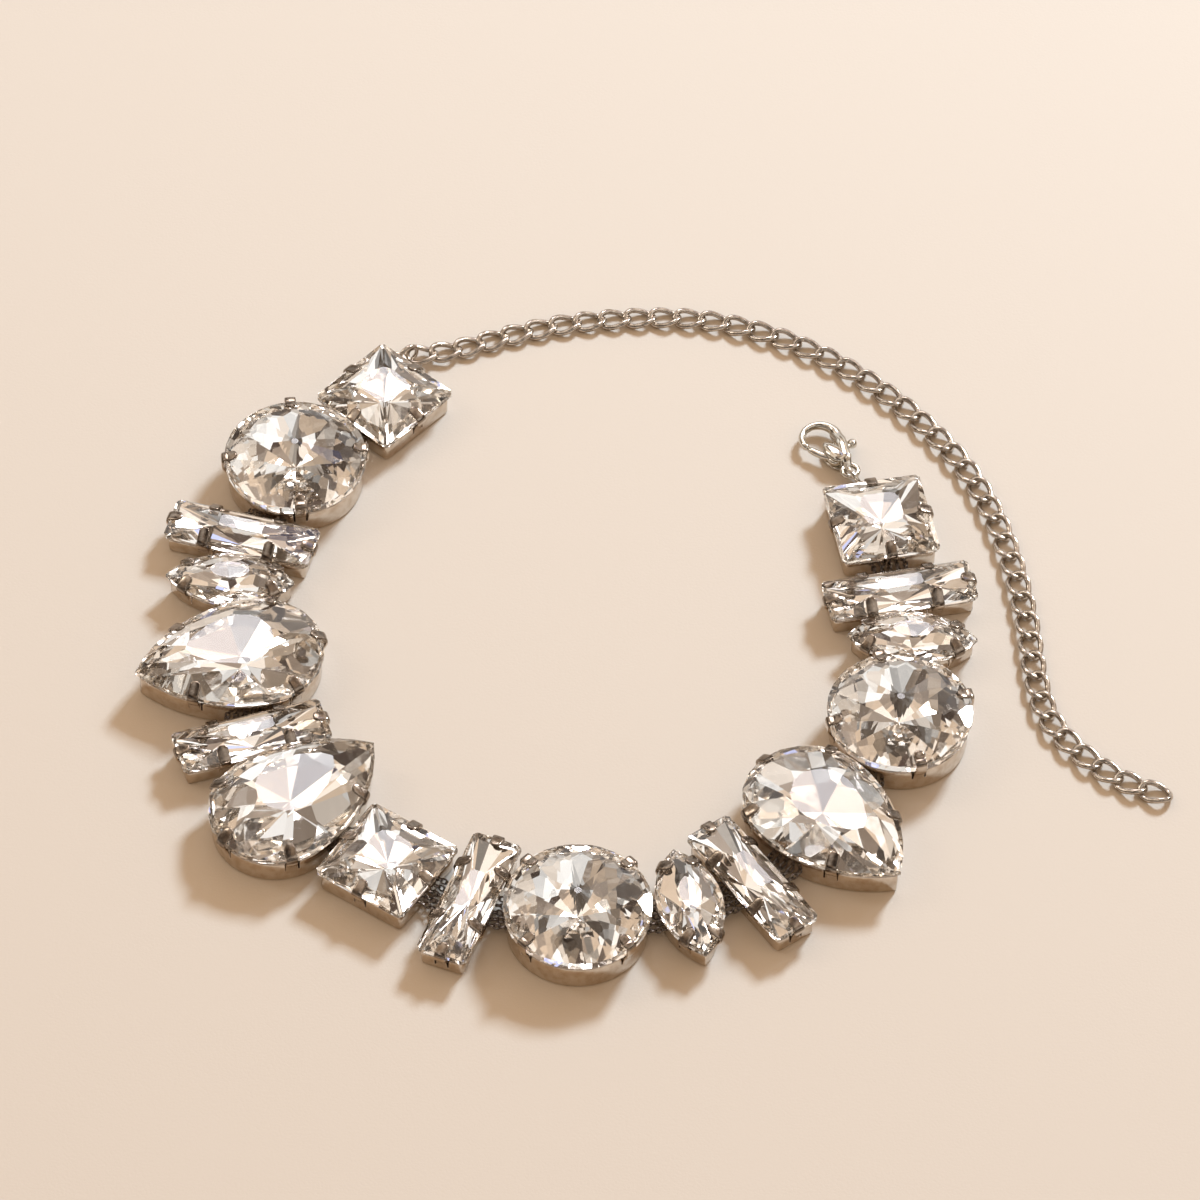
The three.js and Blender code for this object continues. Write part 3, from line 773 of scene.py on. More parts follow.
@dataclass(frozen=True)
class ClawSetting:
    """A stamped cup with claws that fold over the stone's crown, in millimetres.

    The inset is how far the wall stands inside the girdle, the claw fold how far a claw reaches in
    over the crown, and the claw bends where it changes its slope on the way. The claw powers make
    its section a rounded box, and the claw blunt keeps its tip from closing to a point. The spacing
    is that of the wall's points, and the middle how far in its underside and floor are drawn before
    one flat face closes each. The corner softness rounds the folded corners of straight-sided cups
    and the arc softness the others. The wall clears the stone's sloping back by the back slope
    times its depth and a clearance.
    """

    cut: Cut
    claws: tuple[tuple[float, float], ...]
    sheet: float = 0.35
    inset: float = 0.45
    floor: float = 0.5
    claw_width: float = 1.6
    claw_sheet: float = 0.42
    claw_fold: float = 1.8
    claw_bends: tuple[float, float] = (0.45, 1.1)
    claw_powers: tuple[float, float] = (0.35, 0.6)
    claw_blunt: float = 0.995
    slit_width: float = 0.28
    slit_depth: float = 1.5
    slit_edge: float = 0.02
    spacing: float = 0.4
    middle: float = 2.2
    corner_softness: float = 0.16
    arc_softness: float = 0.02
    outline_steps: int = 24
    back_slope: float = 0.93
    clearance: float = 0.05
    flare: float = 0.24

    @property
    def seat(self) -> float:
        """Height of the cup's wall, just under the stone's sloping back."""
        return self.cut.girdle - (self.inset + self.sheet) * self.back_slope - self.clearance

    def rim(self) -> Rim:
        """The stone's outline, with rounded corners where the sheet is folded.

        Returns:
            The outline that the wall follows.
        """
        sharp = self.cut.kind in (Kind.SQUARE, Kind.BAGUETTE)
        softness = self.corner_softness if sharp else self.arc_softness
        return Rim(self.cut.outline(self.outline_steps), softness)

    def feet(self, rim: Rim) -> list[tuple[Array, Array, float]]:
        """Where the claws stand on the outline: point, outward direction and distance along."""
        half = np.array([self.cut.length, self.cut.width]) / 2
        return [rim.nearest(np.array(spot) * half) for spot in self.claws]

    def wall(self) -> Skin:
        """The cup: rows of (inset, height) carried round the outline, with slits beside the claws.

        In a slit the rows above its foot are pressed down to it.

        Returns:
            Points and faces.
        """
        rim = self.rim()
        marks = [np.arange(0, rim.length, self.spacing)]
        start, end = self.claw_width / 2, self.claw_width / 2 + self.slit_width
        slits = []
        for _, _, distance in self.feet(rim):
            for side in (-1, 1):
                low, high = sorted((distance + side * start, distance + side * end))
                slits.append((low % rim.length, high % rim.length))
                edge = self.slit_edge
                marks.append(np.mod([low - edge, low + edge, high - edge, high + edge], rim.length))
        marks = np.unique(np.round(np.concatenate(marks), 4))
        spots, _ = rim.along(marks)
        angle = np.arctan2(spots[:, 1], spots[:, 0])
        foot = np.full(len(marks), np.inf)
        for low, high in slits:
            inside = (marks > low) & (marks < high) if low < high else (marks > low) | (marks < high)
            foot[inside] = self.seat - self.slit_depth
        seat, out, back = self.seat, self.inset, self.inset + self.sheet
        # From the middle of the underside, out and up the wall, over its rolled edge and down inside
        profile = [
            (self.middle, 0.0), (out + 0.32, 0.0), (out + 0.12, 0.06), (out + 0.02, 0.2), (out, 0.45),
            (out, 0.6 * seat), (out, seat - 0.12), (out + 0.06, seat - 0.02), (out + 0.14, seat),
            (back - 0.1, seat), (back - 0.02, seat - 0.06), (back, seat - 0.2), (back, self.floor + 0.2),
            (back + 0.15, self.floor), (self.middle, self.floor),
        ]
        rings = []
        for inset, height in profile:
            radius = rim.radius(angle, inset)
            level = np.where(height > foot, foot + self.slit_edge * (height - foot), height)
            rings.append(np.stack([radius * np.cos(angle), radius * np.sin(angle), level], 1))
        return skin(np.array(rings), wraps=False)

    def claw(self, foot: Array, outward: Array) -> tuple[Array, list[list[int]], Array]:
        """One claw: a rounded strip carried up the wall, round the girdle and down on to the crown.

        The strip's path is smoothed by cutting its corners twice. Its width narrows to a half round
        at the tip: the half width times the square root of one less the square of the way into it.
        Its section is a rounded box: cosine and sine of the turn raised to a small power.

        Args:
            foot: The claw's place on the outline.
            outward: The outward direction there.

        Returns:
            Points, faces, and for each face 1 where the claw is folded over the stone, otherwise 0; the 1s
            take the darker plating that paints shade there.
        """
        cut, sheet = self.cut, self.claw_sheet
        edge = cut.girdle + cut.band
        lift = sheet / 2 + 0.06
        insets = np.array([*self.claw_bends, self.claw_fold])
        crown = CutStone(cut).crown_height(foot - insets[:, None] * outward)
        # Distance out from the girdle and height: up the wall, round the girdle and over the crown
        path = np.array([
            [-self.inset - self.flare, 0.6], [-self.inset - 0.2, self.seat - 1.2],
            [-0.12, cut.girdle - 0.5], [lift, cut.girdle - 0.1],
            [lift + 0.02, edge - 0.05], [lift - 0.14, edge + 0.24],
            *np.stack([-insets, crown + [lift + 0.02, lift, sheet / 2 - 0.02]], 1),
        ])
        path = eased(path)
        way = np.concatenate([[0], np.cumsum(np.linalg.norm(np.diff(path, axis=0), axis=1))])
        width = self.claw_width / 2
        straight = np.linspace(0, way[-1] - width, 22)[:-1]
        marks = np.sort(np.concatenate([straight, way[-1] - width * np.cos(np.linspace(0, 1.5, 8))]))
        out, up = np.interp(marks, way, path[:, 0]), np.interp(marks, way, path[:, 1])
        into = np.clip((marks - way[-1] + width) / width, 0, self.claw_blunt)
        half = width * np.sqrt(1 - into**2)
        along = unit(np.stack([np.gradient(out), np.gradient(up)], 1))
        turn = np.linspace(0, 2 * np.pi, 16, endpoint=False)
        wide = np.sign(np.cos(turn)) * np.abs(np.cos(turn)) ** self.claw_powers[0]
        thick = np.sign(np.sin(turn)) * np.abs(np.sin(turn)) ** self.claw_powers[1] * sheet / 2
        across = half[:, None] * wide[None]
        outs = out[:, None] + thick[None] * along[:, 1:2]
        ups = up[:, None] - thick[None] * along[:, 0:1]
        beside = np.array([-outward[1], outward[0]])
        plan = foot + outs[..., None] * outward + across[..., None] * beside
        points, faces = skin(np.concatenate([plan, ups[..., None]], -1), wraps=False)
        # Faces above this height take the darker claw plating, the painted shade on the folded claws
        fold_starts = edge - 0.1
        folded = points[[face[0] for face in faces], 2] > fold_starts
        return points, faces, folded.astype(int)

    def form(self) -> Form:
        """Makes the cup and its claws.

        Returns:
            The setting in the stone's own frame.
        """
        form = Form().add(*self.wall())
        for foot, outward, _ in self.feet(self.rim()):
            form.add(*self.claw(foot, outward))
        return form


# Rings and chains


@dataclass(frozen=True)
class JumpRing:
    """A round wire ring standing on edge, in millimetres and degrees."""

    wire: float
    mean: float
    lean: float
    heading: float

    def axes(self) -> tuple[Array, Array]:
        """Works out the ring's own plane.

        Returns:
            The level direction in it, and the direction in it that points up.
        """
        heading, lean = math.radians(self.heading), math.radians(self.lean)
        forward = np.array([math.cos(heading), math.sin(heading), 0.0])
        aside = np.array([math.sin(heading), -math.cos(heading), 0.0])
        return forward, math.cos(lean) * UP - math.sin(lean) * aside

    def form(self, middle: Array) -> Form:
        """The ring about its middle: forward times the cosine and upward times the sine.

        Args:
            middle: The ring's middle in the necklace's frame.

        Returns:
            The ring in that frame.
        """
        forward, upward = self.axes()
        angle = np.linspace(0, 2 * np.pi, 48, endpoint=False)[:, None]
        spoke = np.cos(angle) * forward + np.sin(angle) * upward
        path = middle + self.mean / 2 * spoke
        return Form().add(*tube(path, self.wire / 2, sides=14, reference=spoke, wraps=True))


@dataclass(frozen=True)
class WallLoop:
    """A half ring of wire soldered to the wall of an end setting, in millimetres and degrees.

    The sweep is the half angle of its arc in radians, more than a right angle so that its ends
    sink into the wall.
    """

    side: float
    shift: float
    reach: float
    wire: float = 0.6
    height: float = 1.9
    inside: float = 0.7
    sweep: float = 1.75

    def form(self, cut: Cut) -> Form:
        """The loop: its middle inside the wall plus the reach times (cosine, sine) of the sweep.

        Args:
            cut: The cut of the end setting's stone.

        Returns:
            The loop in the stone's own frame.
        """
        angle = np.linspace(-self.sweep, self.sweep, 30)[:, None]
        spoke = np.concatenate([np.cos(angle), np.sin(angle), 0 * angle], 1)
        wall = np.array([cut.width / 2 - self.inside, self.shift, self.height])
        points, faces = tube(wall + self.reach * spoke, self.wire / 2, sides=12, reference=spoke)
        return Form().add(Place(0, 0, self.side).apply(points), faces)


@dataclass(frozen=True)
class FineChain:
    """Rows of small round links between two settings, in millimetres and degrees.

    Every second row is shifted along by a share of the pitch, and the links lean to one side and
    the other in turn.
    """

    rows: int = 5
    spacing: float = 1.15
    pitch: float = 0.82
    row_shift: float = 0.4
    leans: tuple[float, float] = (-40.0, 50.0)
    link_length: float = 1.3
    link_width: float = 1.0
    wire: float = 0.3
    height: float = 1.15
    under_wall: float = 0.95

    def form(self, start: Place, end: Place, rims: tuple[Rim, Rim]) -> Form:
        """Links in straight rows, each turned a quarter round against the next.

        A link is an oval (a cos t, b sin t) in a plane that leans to one side or the other.

        Args:
            start: The place of one setting.
            end: The place of the other.
            rims: Their outlines.

        Returns:
            The links in the necklace's frame.
        """
        span = np.array([end.x - start.x, end.y - start.y])
        length = float(np.linalg.norm(span))
        ahead = span / length
        aside = np.array([-ahead[1], ahead[0]])
        angle = np.linspace(0, 2 * np.pi, 10, endpoint=False)[:, None]
        long = (self.link_length - self.wire) / 2 * np.cos(angle) * np.array([*ahead, 0.0])
        form = Form()
        for row, step in itertools.product(range(self.rows), range(int(length / self.pitch))):
            shift = (row - (self.rows - 1) / 2) * self.spacing
            along = self.pitch * (step + self.row_shift * (row % 2))
            spot = np.array([start.x, start.y]) + ahead * along + aside * shift
            if self.covered(spot, start, rims[0]) or self.covered(spot, end, rims[1]):
                continue
            lean = math.radians(self.leans[step % 2])
            wide = np.array([*(aside * math.cos(lean)), math.sin(lean)])
            path = long + (self.link_width - self.wire) / 2 * np.sin(angle) * wide
            centre = np.array([*spot, self.height])
            form.add(*tube(path + centre, self.wire / 2, sides=5, reference=path, wraps=True))
        return form

    def covered(self, spot: Array, place: Place, rim: Rim) -> bool:
        """Tells whether a spot lies inside a setting's wall.

        Args:
            spot: A point in plan in the necklace's frame.
            place: The setting's place.
            rim: Its outline.

        Returns:
            True inside.
        """
        angle = math.radians(place.turn)
        offset = spot - [place.x, place.y]
        local = np.array([offset[0] * math.cos(angle) + offset[1] * math.sin(angle),
                          -offset[0] * math.sin(angle) + offset[1] * math.cos(angle)])
        return bool((rim.normals @ local <= rim.offsets - self.under_wall).all())


@dataclass(frozen=True)
class CurbChain:
    """A chain of oval links twisted so that they lie flat, in millimetres.

    The twist is how far a link's wire rises and falls, and the sink how far the inner ends of two
    links overlap where they bear on each other.
    """

    route: tuple[tuple[float, float, float], ...]
    pitch: float = 3.6
    width: float = 3.7
    wire: float = 0.8
    twist: float = 0.36
    sink: float = 0.14

    def joints(self) -> Array:
        """Points at equal spacing along a smooth curve through the route.

        The curve is a centripetal spline: each span is blended in three steps of straight mixes,
        from knots whose spacing is the square root of the distance between the points.

        Returns:
            The places where links meet.
        """
        route = np.array(self.route)
        route[:, 2] += self.twist + self.wire / 2
        padded = np.concatenate([[2 * route[0] - route[1]], route, [2 * route[-1] - route[-2]]])
        share = np.linspace(0, 1, 40, endpoint=False)[:, None]
        spans = []
        for a, b, c, d in zip(padded, padded[1:], padded[2:], padded[3:]):
            gaps = [np.linalg.norm(q - p) ** 0.5 for p, q in ((a, b), (b, c), (c, d))]
            t0, t1, t2, t3 = np.concatenate([[0], np.cumsum(gaps)])
            t = t1 + (t2 - t1) * share
            ab = (t1 - t) / (t1 - t0) * a + (t - t0) / (t1 - t0) * b
            bc = (t2 - t) / (t2 - t1) * b + (t - t1) / (t2 - t1) * c
            cd = (t3 - t) / (t3 - t2) * c + (t - t2) / (t3 - t2) * d
            abc = (t2 - t) / (t2 - t0) * ab + (t - t0) / (t2 - t0) * bc
            bcd = (t3 - t) / (t3 - t1) * bc + (t - t1) / (t3 - t1) * cd
            spans.append((t2 - t) / (t2 - t1) * abc + (t - t1) / (t2 - t1) * bcd)
        line = np.concatenate([*spans, route[-1:]])
        way = np.concatenate([[0], np.cumsum(np.linalg.norm(np.diff(line, axis=0), axis=1))])
        marks = np.linspace(0, way[-1], round(way[-1] / self.pitch) + 1)
        return np.stack([np.interp(marks, way, line[:, k]) for k in range(3)], 1)

    def form(self) -> Form:
        """Links between neighbouring joints: (a cos t, b sin t, -h sin 2t) in each link's frame.

        Returns:
            The chain in the route's frame.
        """
        joints = self.joints()
        angle = np.linspace(0, 2 * np.pi, 36, endpoint=False)[:, None]
        across = (self.width - self.wire) / 2
        form = Form()
        for start, end in zip(joints, joints[1:]):
            chord = end - start
            length = float(np.linalg.norm(chord))
            long = chord / length
            wide = unit(np.array([-long[1], long[0], 0.0]))
            tall = np.cross(long, wide)
            half = length / 2 + (self.wire - self.sink) / 2
            path = half * np.cos(angle) * long + across * np.sin(angle) * wide
            path = path - self.twist * np.sin(2 * angle) * tall
            middle = (start + end) / 2
            form.add(*tube(path + middle, self.wire / 2, sides=12, reference=path, wraps=True))
        return form


# Clasp


@dataclass(frozen=True)
class LobsterClasp:
    """A cast lobster clasp lying flat: eye at its origin, nose along X, in millimetres and degrees.

    The hook is an arc about a point on X, and the fork the spine's two halves, between which the
    lever's thumb arm passes. A flatten is an oval section's second half-axis as a share of its
    first, and a taper the shares of the radius at a wire's last points. The belly's slant is how
    fast its middle line leaves X, from where it is level. The knuckle is the drum's radii.
    """

    eye_outer: float = 1.5
    eye_hole: float = 0.74
    eye_flatten: float = 1.2
    hook_at: float = 7.3
    hook_outer: float = 3.1
    hook_inner: float = 2.0
    hook_tip: float = 104.0
    hook_root: float = -125.0
    hook_start: tuple[tuple[float, float, float], ...] = ((4.8, -1.8, 0.0), (5.3, -1.98, 0.0))
    hook_wire: float = 0.57
    hook_swell: float = 0.4
    hook_fade: float = 0.32
    hook_flatten: float = 0.85
    hook_root_taper: tuple[float, ...] = (0.3, 0.62, 0.76, 0.84, 0.89, 0.93, 0.96, 0.98)
    hook_tip_taper: tuple[float, ...] = (0.97, 0.9, 0.75, 0.45)
    fork_route: tuple[tuple[float, float, float], ...] = (
        (0.9, 0.0, 0.2), (1.5, -0.3, 0.7), (2.1, -0.6, 0.93), (3.2, -1.15, 0.93), (4.3, -1.66, 0.93),
        (5.3, -2.0, 0.72), (6.2, -2.24, 0.4), (7.0, -2.42, 0.1))
    fork_wire: float = 0.42
    fork_flatten: float = 1.95
    belly_at: float = 3.6
    belly_length: float = 4.3
    belly_width: float = 2.5
    belly_edge: float = 0.12
    belly_narrowing: float = 0.25
    belly_slant: float = 0.12
    belly_level_at: float = 2.0
    neck_route: tuple[tuple[float, float, float], ...] = (
        (1.0, 0.0, 0.1), (1.4, 0.0, 0.5), (2.2, 0.0, 1.0), (3.2, 0.0, 1.08))
    neck_wire: tuple[float, ...] = (0.5, 0.5, 0.45, 0.3)
    neck_flatten: float = 0.7
    thick: float = 2.8
    slot: float = 1.5
    pivot: tuple[float, float] = (3.0, 0.4)
    pin: float = 0.35
    pin_sunk: float = 0.2
    lever_thick: float = 0.9
    lever_bow: tuple[float, float, float] = (-0.35, 0.6, 0.0)
    lever_bow_height: float = 0.35
    bar_wire: float = 0.5
    bar_swell: float = 0.03
    bar_tip_taper: tuple[float, ...] = (0.97, 0.88, 0.6)
    arm_wire: float = 0.36
    arm_swell: float = 0.04
    knuckle: tuple[float, ...] = (0.95, 1.12, 1.15, 1.12, 0.95)
    tab: tuple[float, float] = (4.0, -3.3)
    tab_radius: float = 0.72
    tab_height: float = 0.7

    @property
    def hook_mean(self) -> float:
        """Radius of the hook's centre line."""
        return (self.hook_outer + self.hook_inner) / 2

    def hook(self) -> Skin:
        """The hook: an arc that swells out of the fork and thins towards its tip.

        The wire's radius is a base and a bell curve about the root, and is cut down at both ends.

        Returns:
            Points and faces.
        """
        angle = np.radians(np.linspace(self.hook_root, self.hook_tip, 50))
        mean = self.hook_mean
        arc = np.stack([self.hook_at + mean * np.cos(angle), mean * np.sin(angle), 0 * angle], 1)
        path = np.concatenate([self.hook_start, arc])
        share = np.linspace(0, 1, len(path))
        radius = self.hook_wire + self.hook_swell * np.exp(-(share / self.hook_fade) ** 2)
        radius[:len(self.hook_root_taper)] *= self.hook_root_taper
        radius[-len(self.hook_tip_taper):] *= self.hook_tip_taper
        return tube(path, radius, sides=22, reference=UP, flatten=self.hook_flatten)

    def fork(self, side: int) -> Skin:
        """One half of the spine, from the eye past the thumb arm's slot into the hook."""
        path = eased(np.array(self.fork_route)) * [1, 1, side]
        return tube(path, self.fork_wire, sides=18, reference=UP, flatten=self.fork_flatten)

    def eye(self) -> Skin:
        """The eye: a flattened ring, the mean radius times (cosine, sine) about the origin.

        Returns:
            Points and faces.
        """
        angle = np.linspace(0, 2 * np.pi, 40, endpoint=False)[:, None]
        spoke = np.concatenate([np.cos(angle), np.sin(angle), 0 * angle], 1)
        path, radius = (self.eye_outer + self.eye_hole) / 2 * spoke, (self.eye_outer - self.eye_hole) / 2
        return tube(path, radius, sides=14, reference=spoke, wraps=True, flatten=self.eye_flatten)

    def cheek(self, side: int) -> Skin:
        """One half of the belly: a leaf-shaped dome over the slot.

        Going up the dome, its size falls with the cosine of the rise and its height climbs with the
        sine. The leaf is an oval that narrows towards the nose and slants a little.

        Args:
            side: 1 for the upper half, -1 for the lower.

        Returns:
            Points and faces.
        """
        turn = np.linspace(0, 2 * np.pi, 48, endpoint=False)
        rise = np.radians(np.linspace(0, 88, 12))
        low, high = self.slot / 2, self.thick / 2
        # Share of the leaf's size and height: the slot's face, its eased edge, and the dome above
        rings = [(0.86, low), (0.97, low + self.belly_edge / 2)]
        base = low + self.belly_edge
        rings += [(math.cos(r), base + (high - low - self.belly_edge) * math.sin(r)) for r in rise]
        size, level = np.array(rings).T[:, :, None]
        leaf = self.belly_width / 2 * np.sin(turn) * (1 - self.belly_narrowing * np.cos(turn))
        x = self.belly_at + size * self.belly_length / 2 * np.cos(turn)
        y = size * leaf + self.belly_slant * (x - self.belly_level_at)
        return skin(np.stack([x, y, side * level + 0 * x], -1), wraps=False)

    def neck(self, side: int) -> Skin:
        """The strap from the eye to one cheek, past the lever's knuckle."""
        path, radius = np.array(self.neck_route) * [1, 1, side], np.array(self.neck_wire)
        return tube(path, radius, sides=14, reference=ALONG_Y, flatten=self.neck_flatten)

    def casting(self) -> Form:
        """Makes all of the clasp that doesn't move.

        Returns:
            The casting and its pin in the clasp's frame.
        """
        form = Form()
        form.add(*self.hook()).add(*self.eye())
        for side in (-1, 1):
            form.add(*self.cheek(side)).add(*self.neck(side)).add(*self.fork(side))
        reach = self.thick / 2 - self.pin_sunk
        pin = np.array([[*self.pivot, -reach], [*self.pivot, reach]])
        pin = pin[0] + np.linspace(0, 1, 4)[:, None] * (pin[1] - pin[0])
        form.add(*tube(pin, self.pin, sides=14, reference=ALONG_X))
        return form

    def lever(self) -> Form:
        """Makes the lever: bar to the hook's tip, knuckle, arm and thumb tab.

        The bar bows outwards by half a sine wave, the knuckle is a drum with eased edges, and the
        tab a ball whose radius is the root of one less the square of the rise.

        Returns:
            The lever in the clasp's frame.
        """
        tip = math.radians(self.hook_tip)
        pivot = np.array([*self.pivot, 0.0])
        mean = self.hook_mean
        nose = np.array([self.hook_at + mean * math.cos(tip), mean * math.sin(tip), 0.0])
        tab = np.array([*self.tab, 0.0])
        share = np.linspace(0, 1, 16)[:, None]
        bow = np.array(self.lever_bow) * np.sin(np.pi * share) * self.lever_bow_height
        radius = self.bar_wire + self.bar_swell * np.sin(np.pi * share[:, 0])
        radius[-len(self.bar_tip_taper):] *= self.bar_tip_taper
        form = Form()
        form.add(*tube(pivot + (nose - pivot) * share + bow, radius, sides=16, reference=UP))
        arm = self.arm_wire + self.arm_swell * share[:, 0]
        form.add(*tube(pivot + (tab - pivot) * share, arm, sides=14, reference=UP))
        half, knuckle = self.lever_thick / 2, np.array(self.knuckle)
        drum = pivot + UP * np.linspace(-half, half, len(knuckle))[:, None]
        form.add(*tube(drum, knuckle, sides=24, reference=ALONG_X))
        rise = np.linspace(-1, 1, 11)[:, None]
        ball = tab + UP * self.tab_height * rise
        size = self.tab_radius * np.sqrt(np.clip(1 - rise[:, 0] ** 2, 0.01, 1))
        form.add(*tube(ball, size, sides=20, reference=ALONG_X))
        return form


# The necklace


CUTS = {
    Kind.SQUARE: Cut(Kind.SQUARE, length=14, width=14, girdle=3.5, band=0.6, crown=2.1, table=0.4, bevel=31,
                     star=0.84),
    Kind.ROUND: Cut(Kind.ROUND, length=20, width=20, girdle=4.6, band=1.6, crown=2.5, table=0.05, bevel=30,
                    mains=16, steps=8, backs=24),
    Kind.BAGUETTE: Cut(Kind.BAGUETTE, length=21, width=7, girdle=3.1, band=0.6, crown=1.9, table=0.3,
                       bevel=41),
    Kind.PEAR: Cut(Kind.PEAR, length=26.4, width=18.4, girdle=4.2, band=0.7, crown=3, table=0.46, bevel=37,
                   culet_shift=-1.5, main_shift=0.5, star=0.97),
    Kind.NAVETTE: Cut(Kind.NAVETTE, length=18, width=9, girdle=3.2, band=0.6, crown=1.9, table=0.34,
                      bevel=38, steps=6),
}

# Where the claws stand, as shares of half the length and half the width
CLAWS = {
    Kind.SQUARE: ((1, 0), (0, 1), (-1, 0), (0, -1)),
    Kind.ROUND: ((0.7, 0.7), (-0.7, 0.7), (-0.7, -0.7), (0.7, -0.7)),
    Kind.BAGUETTE: ((1, 0), (0.45, 1), (-0.45, 1), (-1, 0), (-0.45, -1), (0.45, -1)),
    Kind.PEAR: ((0.45, 0.6), (-0.6, 0.9), (-1, 0), (-0.6, -0.9), (0.45, -0.6)),
    Kind.NAVETTE: ((0.7, 0.5), (-0.7, 0.5), (-0.7, -0.5), (0.7, -0.5)),
}

# The row from the chain end to the clasp end: the kind and the turn of each stone in degrees
ROW = (
    (Kind.SQUARE, 49), (Kind.ROUND, -38), (Kind.BAGUETTE, -14), (Kind.NAVETTE, -3), (Kind.PEAR, 195),
    (Kind.BAGUETTE, 19), (Kind.PEAR, 42), (Kind.SQUARE, 58), (Kind.BAGUETTE, 70), (Kind.ROUND, 0),
    (Kind.NAVETTE, -75), (Kind.BAGUETTE, -54), (Kind.PEAR, -45), (Kind.ROUND, -29), (Kind.NAVETTE, -1),
    (Kind.BAGUETTE, 13), (Kind.SQUARE, 12),
)

# The rings, the loops by the number of their setting in the row, and the clasp's heading in degrees
CHAIN_RING = JumpRing(wire=0.6, mean=3.2, lean=0, heading=40)
CLASP_RING = JumpRing(wire=0.7, mean=4.3, lean=25, heading=120)
LOOPS = {0: WallLoop(side=0, shift=4.5, reach=2.2), 16: WallLoop(side=90, shift=0.5, reach=2.3)}
CLASP_HEADING = 126.0

# The chain's route in millimetres from its first joint, laid along the curve that it lies in
CHAIN = CurbChain(route=(
    (0, 0, 0.8), (3.2, 0.9, 0.4), (6.8, 2.1, 0.1), (14.7, 5.3, 0), (23, 7.8, 0), (33, 9.2, 0),
    (40.6, 9.3, 0), (48.1, 7.9, 0), (55.1, 5.2, 0), (62.5, 0.8, 0), (69, -4.7, 0), (74.6, -10.8, 0),
    (79.5, -17.7, 0),
    (83, -25.2, 0), (85.5, -33.3, 0), (87.2, -41.8, 0), (88.1, -48.5, 0), (88.7, -55.6, 0),
    (90.4, -63.8, 0), (94.4, -69.5, 0), (100.3, -74.4, 0), (106.3, -76.9, 0),
))


def node_middle(name: str) -> Array:
    """Middle of a solid's box, in millimetres."""
    low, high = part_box(name)
    return (np.array(low) + np.array(high)) / 2 / METRE


def shown(piece: bpy.types.Object, body: str, slot: str, *nodes: str) -> bpy.types.Object:
    """Lets a piece ride on a body in place of the solids that it stands for.

    Args:
        piece: The new piece.
        body: The body that it rides on.
        slot: The record's material slot. It is not used.
        nodes: The solids that it stands for.

    Returns:
        The piece itself.
    """
    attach(piece, body)
    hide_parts(*nodes)
    return piece


@dataclass
class StoneRow:
    """The stones in their settings, and the fine chain between them."""

    places: list[Place] = field(default_factory=list)

    def lay_out(self) -> None:
        """Finds each stone's place: its solid's box and its turned outline's box share a middle.

        A round stone's outline has its middle at its origin.
        """
        for number, (kind, turn) in enumerate(ROW):
            middle = node_middle(f"stone_{number + 1:02d}_{kind.value}")
            shape = Place(0, 0, turn).apply(CUTS[kind].outline(CAD_STEPS))
            offset = (shape.min(0) + shape.max(0)) / 2
            if kind is Kind.ROUND:
                offset = np.zeros(2)
            self.places.append(Place(middle[0] - offset[0], middle[1] - offset[1], turn))

    def build(self) -> None:
        """Makes every setting, stone and run of fine chain."""
        self.lay_out()
        for number, (kind, _) in enumerate(ROW):
            label = f"{number + 1:02d}_{kind.value}"
            place, cut = self.places[number], CUTS[kind]
            form = ClawSetting(cut, CLAWS[kind]).form()
            if number in LOOPS:
                form.join(LOOPS[number].form(cut))
            # The folded claws take the darker copy of the plating, which is painted shade
            setting = form.moved(place).piece(f"claw_setting_{label}", [STAMPED, SHADED_CLAW_PLATING])
            shown(setting, BODY, "plating", f"setting_{label}")
            stone = CutStone(cut).form().moved(place).piece(f"cut_stone_{label}", [CRYSTAL, FOIL])
            shown(stone, BODY, "crystal", f"stone_{label}")
            if number:
                self.link(number)

    def link(self, number: int) -> None:
        """Makes the run of fine chain that leads to a stone from the one before it.

        Args:
            number: The stone's number in the row, counted from 0.
        """
        rims = tuple(Rim(CUTS[ROW[index][0]].outline()) for index in (number - 1, number))
        form = FineChain().form(self.places[number - 1], self.places[number], rims)
        # The links take the dark wire, which is painted shade
        chain = form.piece(f"fine_chain_links_{number:02d}", [SHADED_FINE_WIRE])
        shown(chain, BODY, "chain", f"fine_chain_{number:02d}")


@dataclass
class Fastening:
    """The curb chain, the two jump rings and the clasp."""

    clasp: LobsterClasp = field(default_factory=LobsterClasp)

    def chain_end(self) -> None:
        """Makes the curb chain, with its box's middle where its solid has it, and its ring."""
        chain = CHAIN.form()
        points = np.concatenate(chain.points)
        shift = node_middle("curb_chain") - (points.min(0) + points.max(0)) / 2
        chain.moved(Place(shift[0], shift[1]))
        shown(chain.piece("curb_chain_links", [WIRE]), BODY, "chain", "curb_chain")
        ring = CHAIN_RING.form(node_middle("chain_jump_ring"))
        shown(ring.piece("chain_end_ring", [WIRE]), BODY, "chain", "chain_jump_ring")

    def clasp_end(self) -> None:
        """Makes the clasp and its ring: the eye is centred where the ring passes through its height."""
        middle = node_middle("clasp_jump_ring")
        ring = CLASP_RING.form(middle)
        shown(ring.piece("clasp_end_ring", [CAST]), BODY, "plating", "clasp_jump_ring")
        forward, upward = CLASP_RING.axes()
        height = self.clasp.thick / 2
        drop = (height - middle[2]) / upward[2]
        eye = middle + drop * upward + math.sqrt((CLASP_RING.mean / 2) ** 2 - drop**2) * forward
        place = Place(eye[0], eye[1], CLASP_HEADING, height)
        casting = self.clasp.casting().moved(place).piece("clasp_casting", [CAST])
        shown(casting, BODY, "plating", "clasp_body")
        lever = self.clasp.lever().moved(place).piece("clasp_thumb_lever", [CAST])
        shown(lever, LEVER_BODY, "plating", "clasp_lever")

    def build(self) -> None:
        """Makes both ends."""
        self.chain_end()
        self.clasp_end()


# Studio


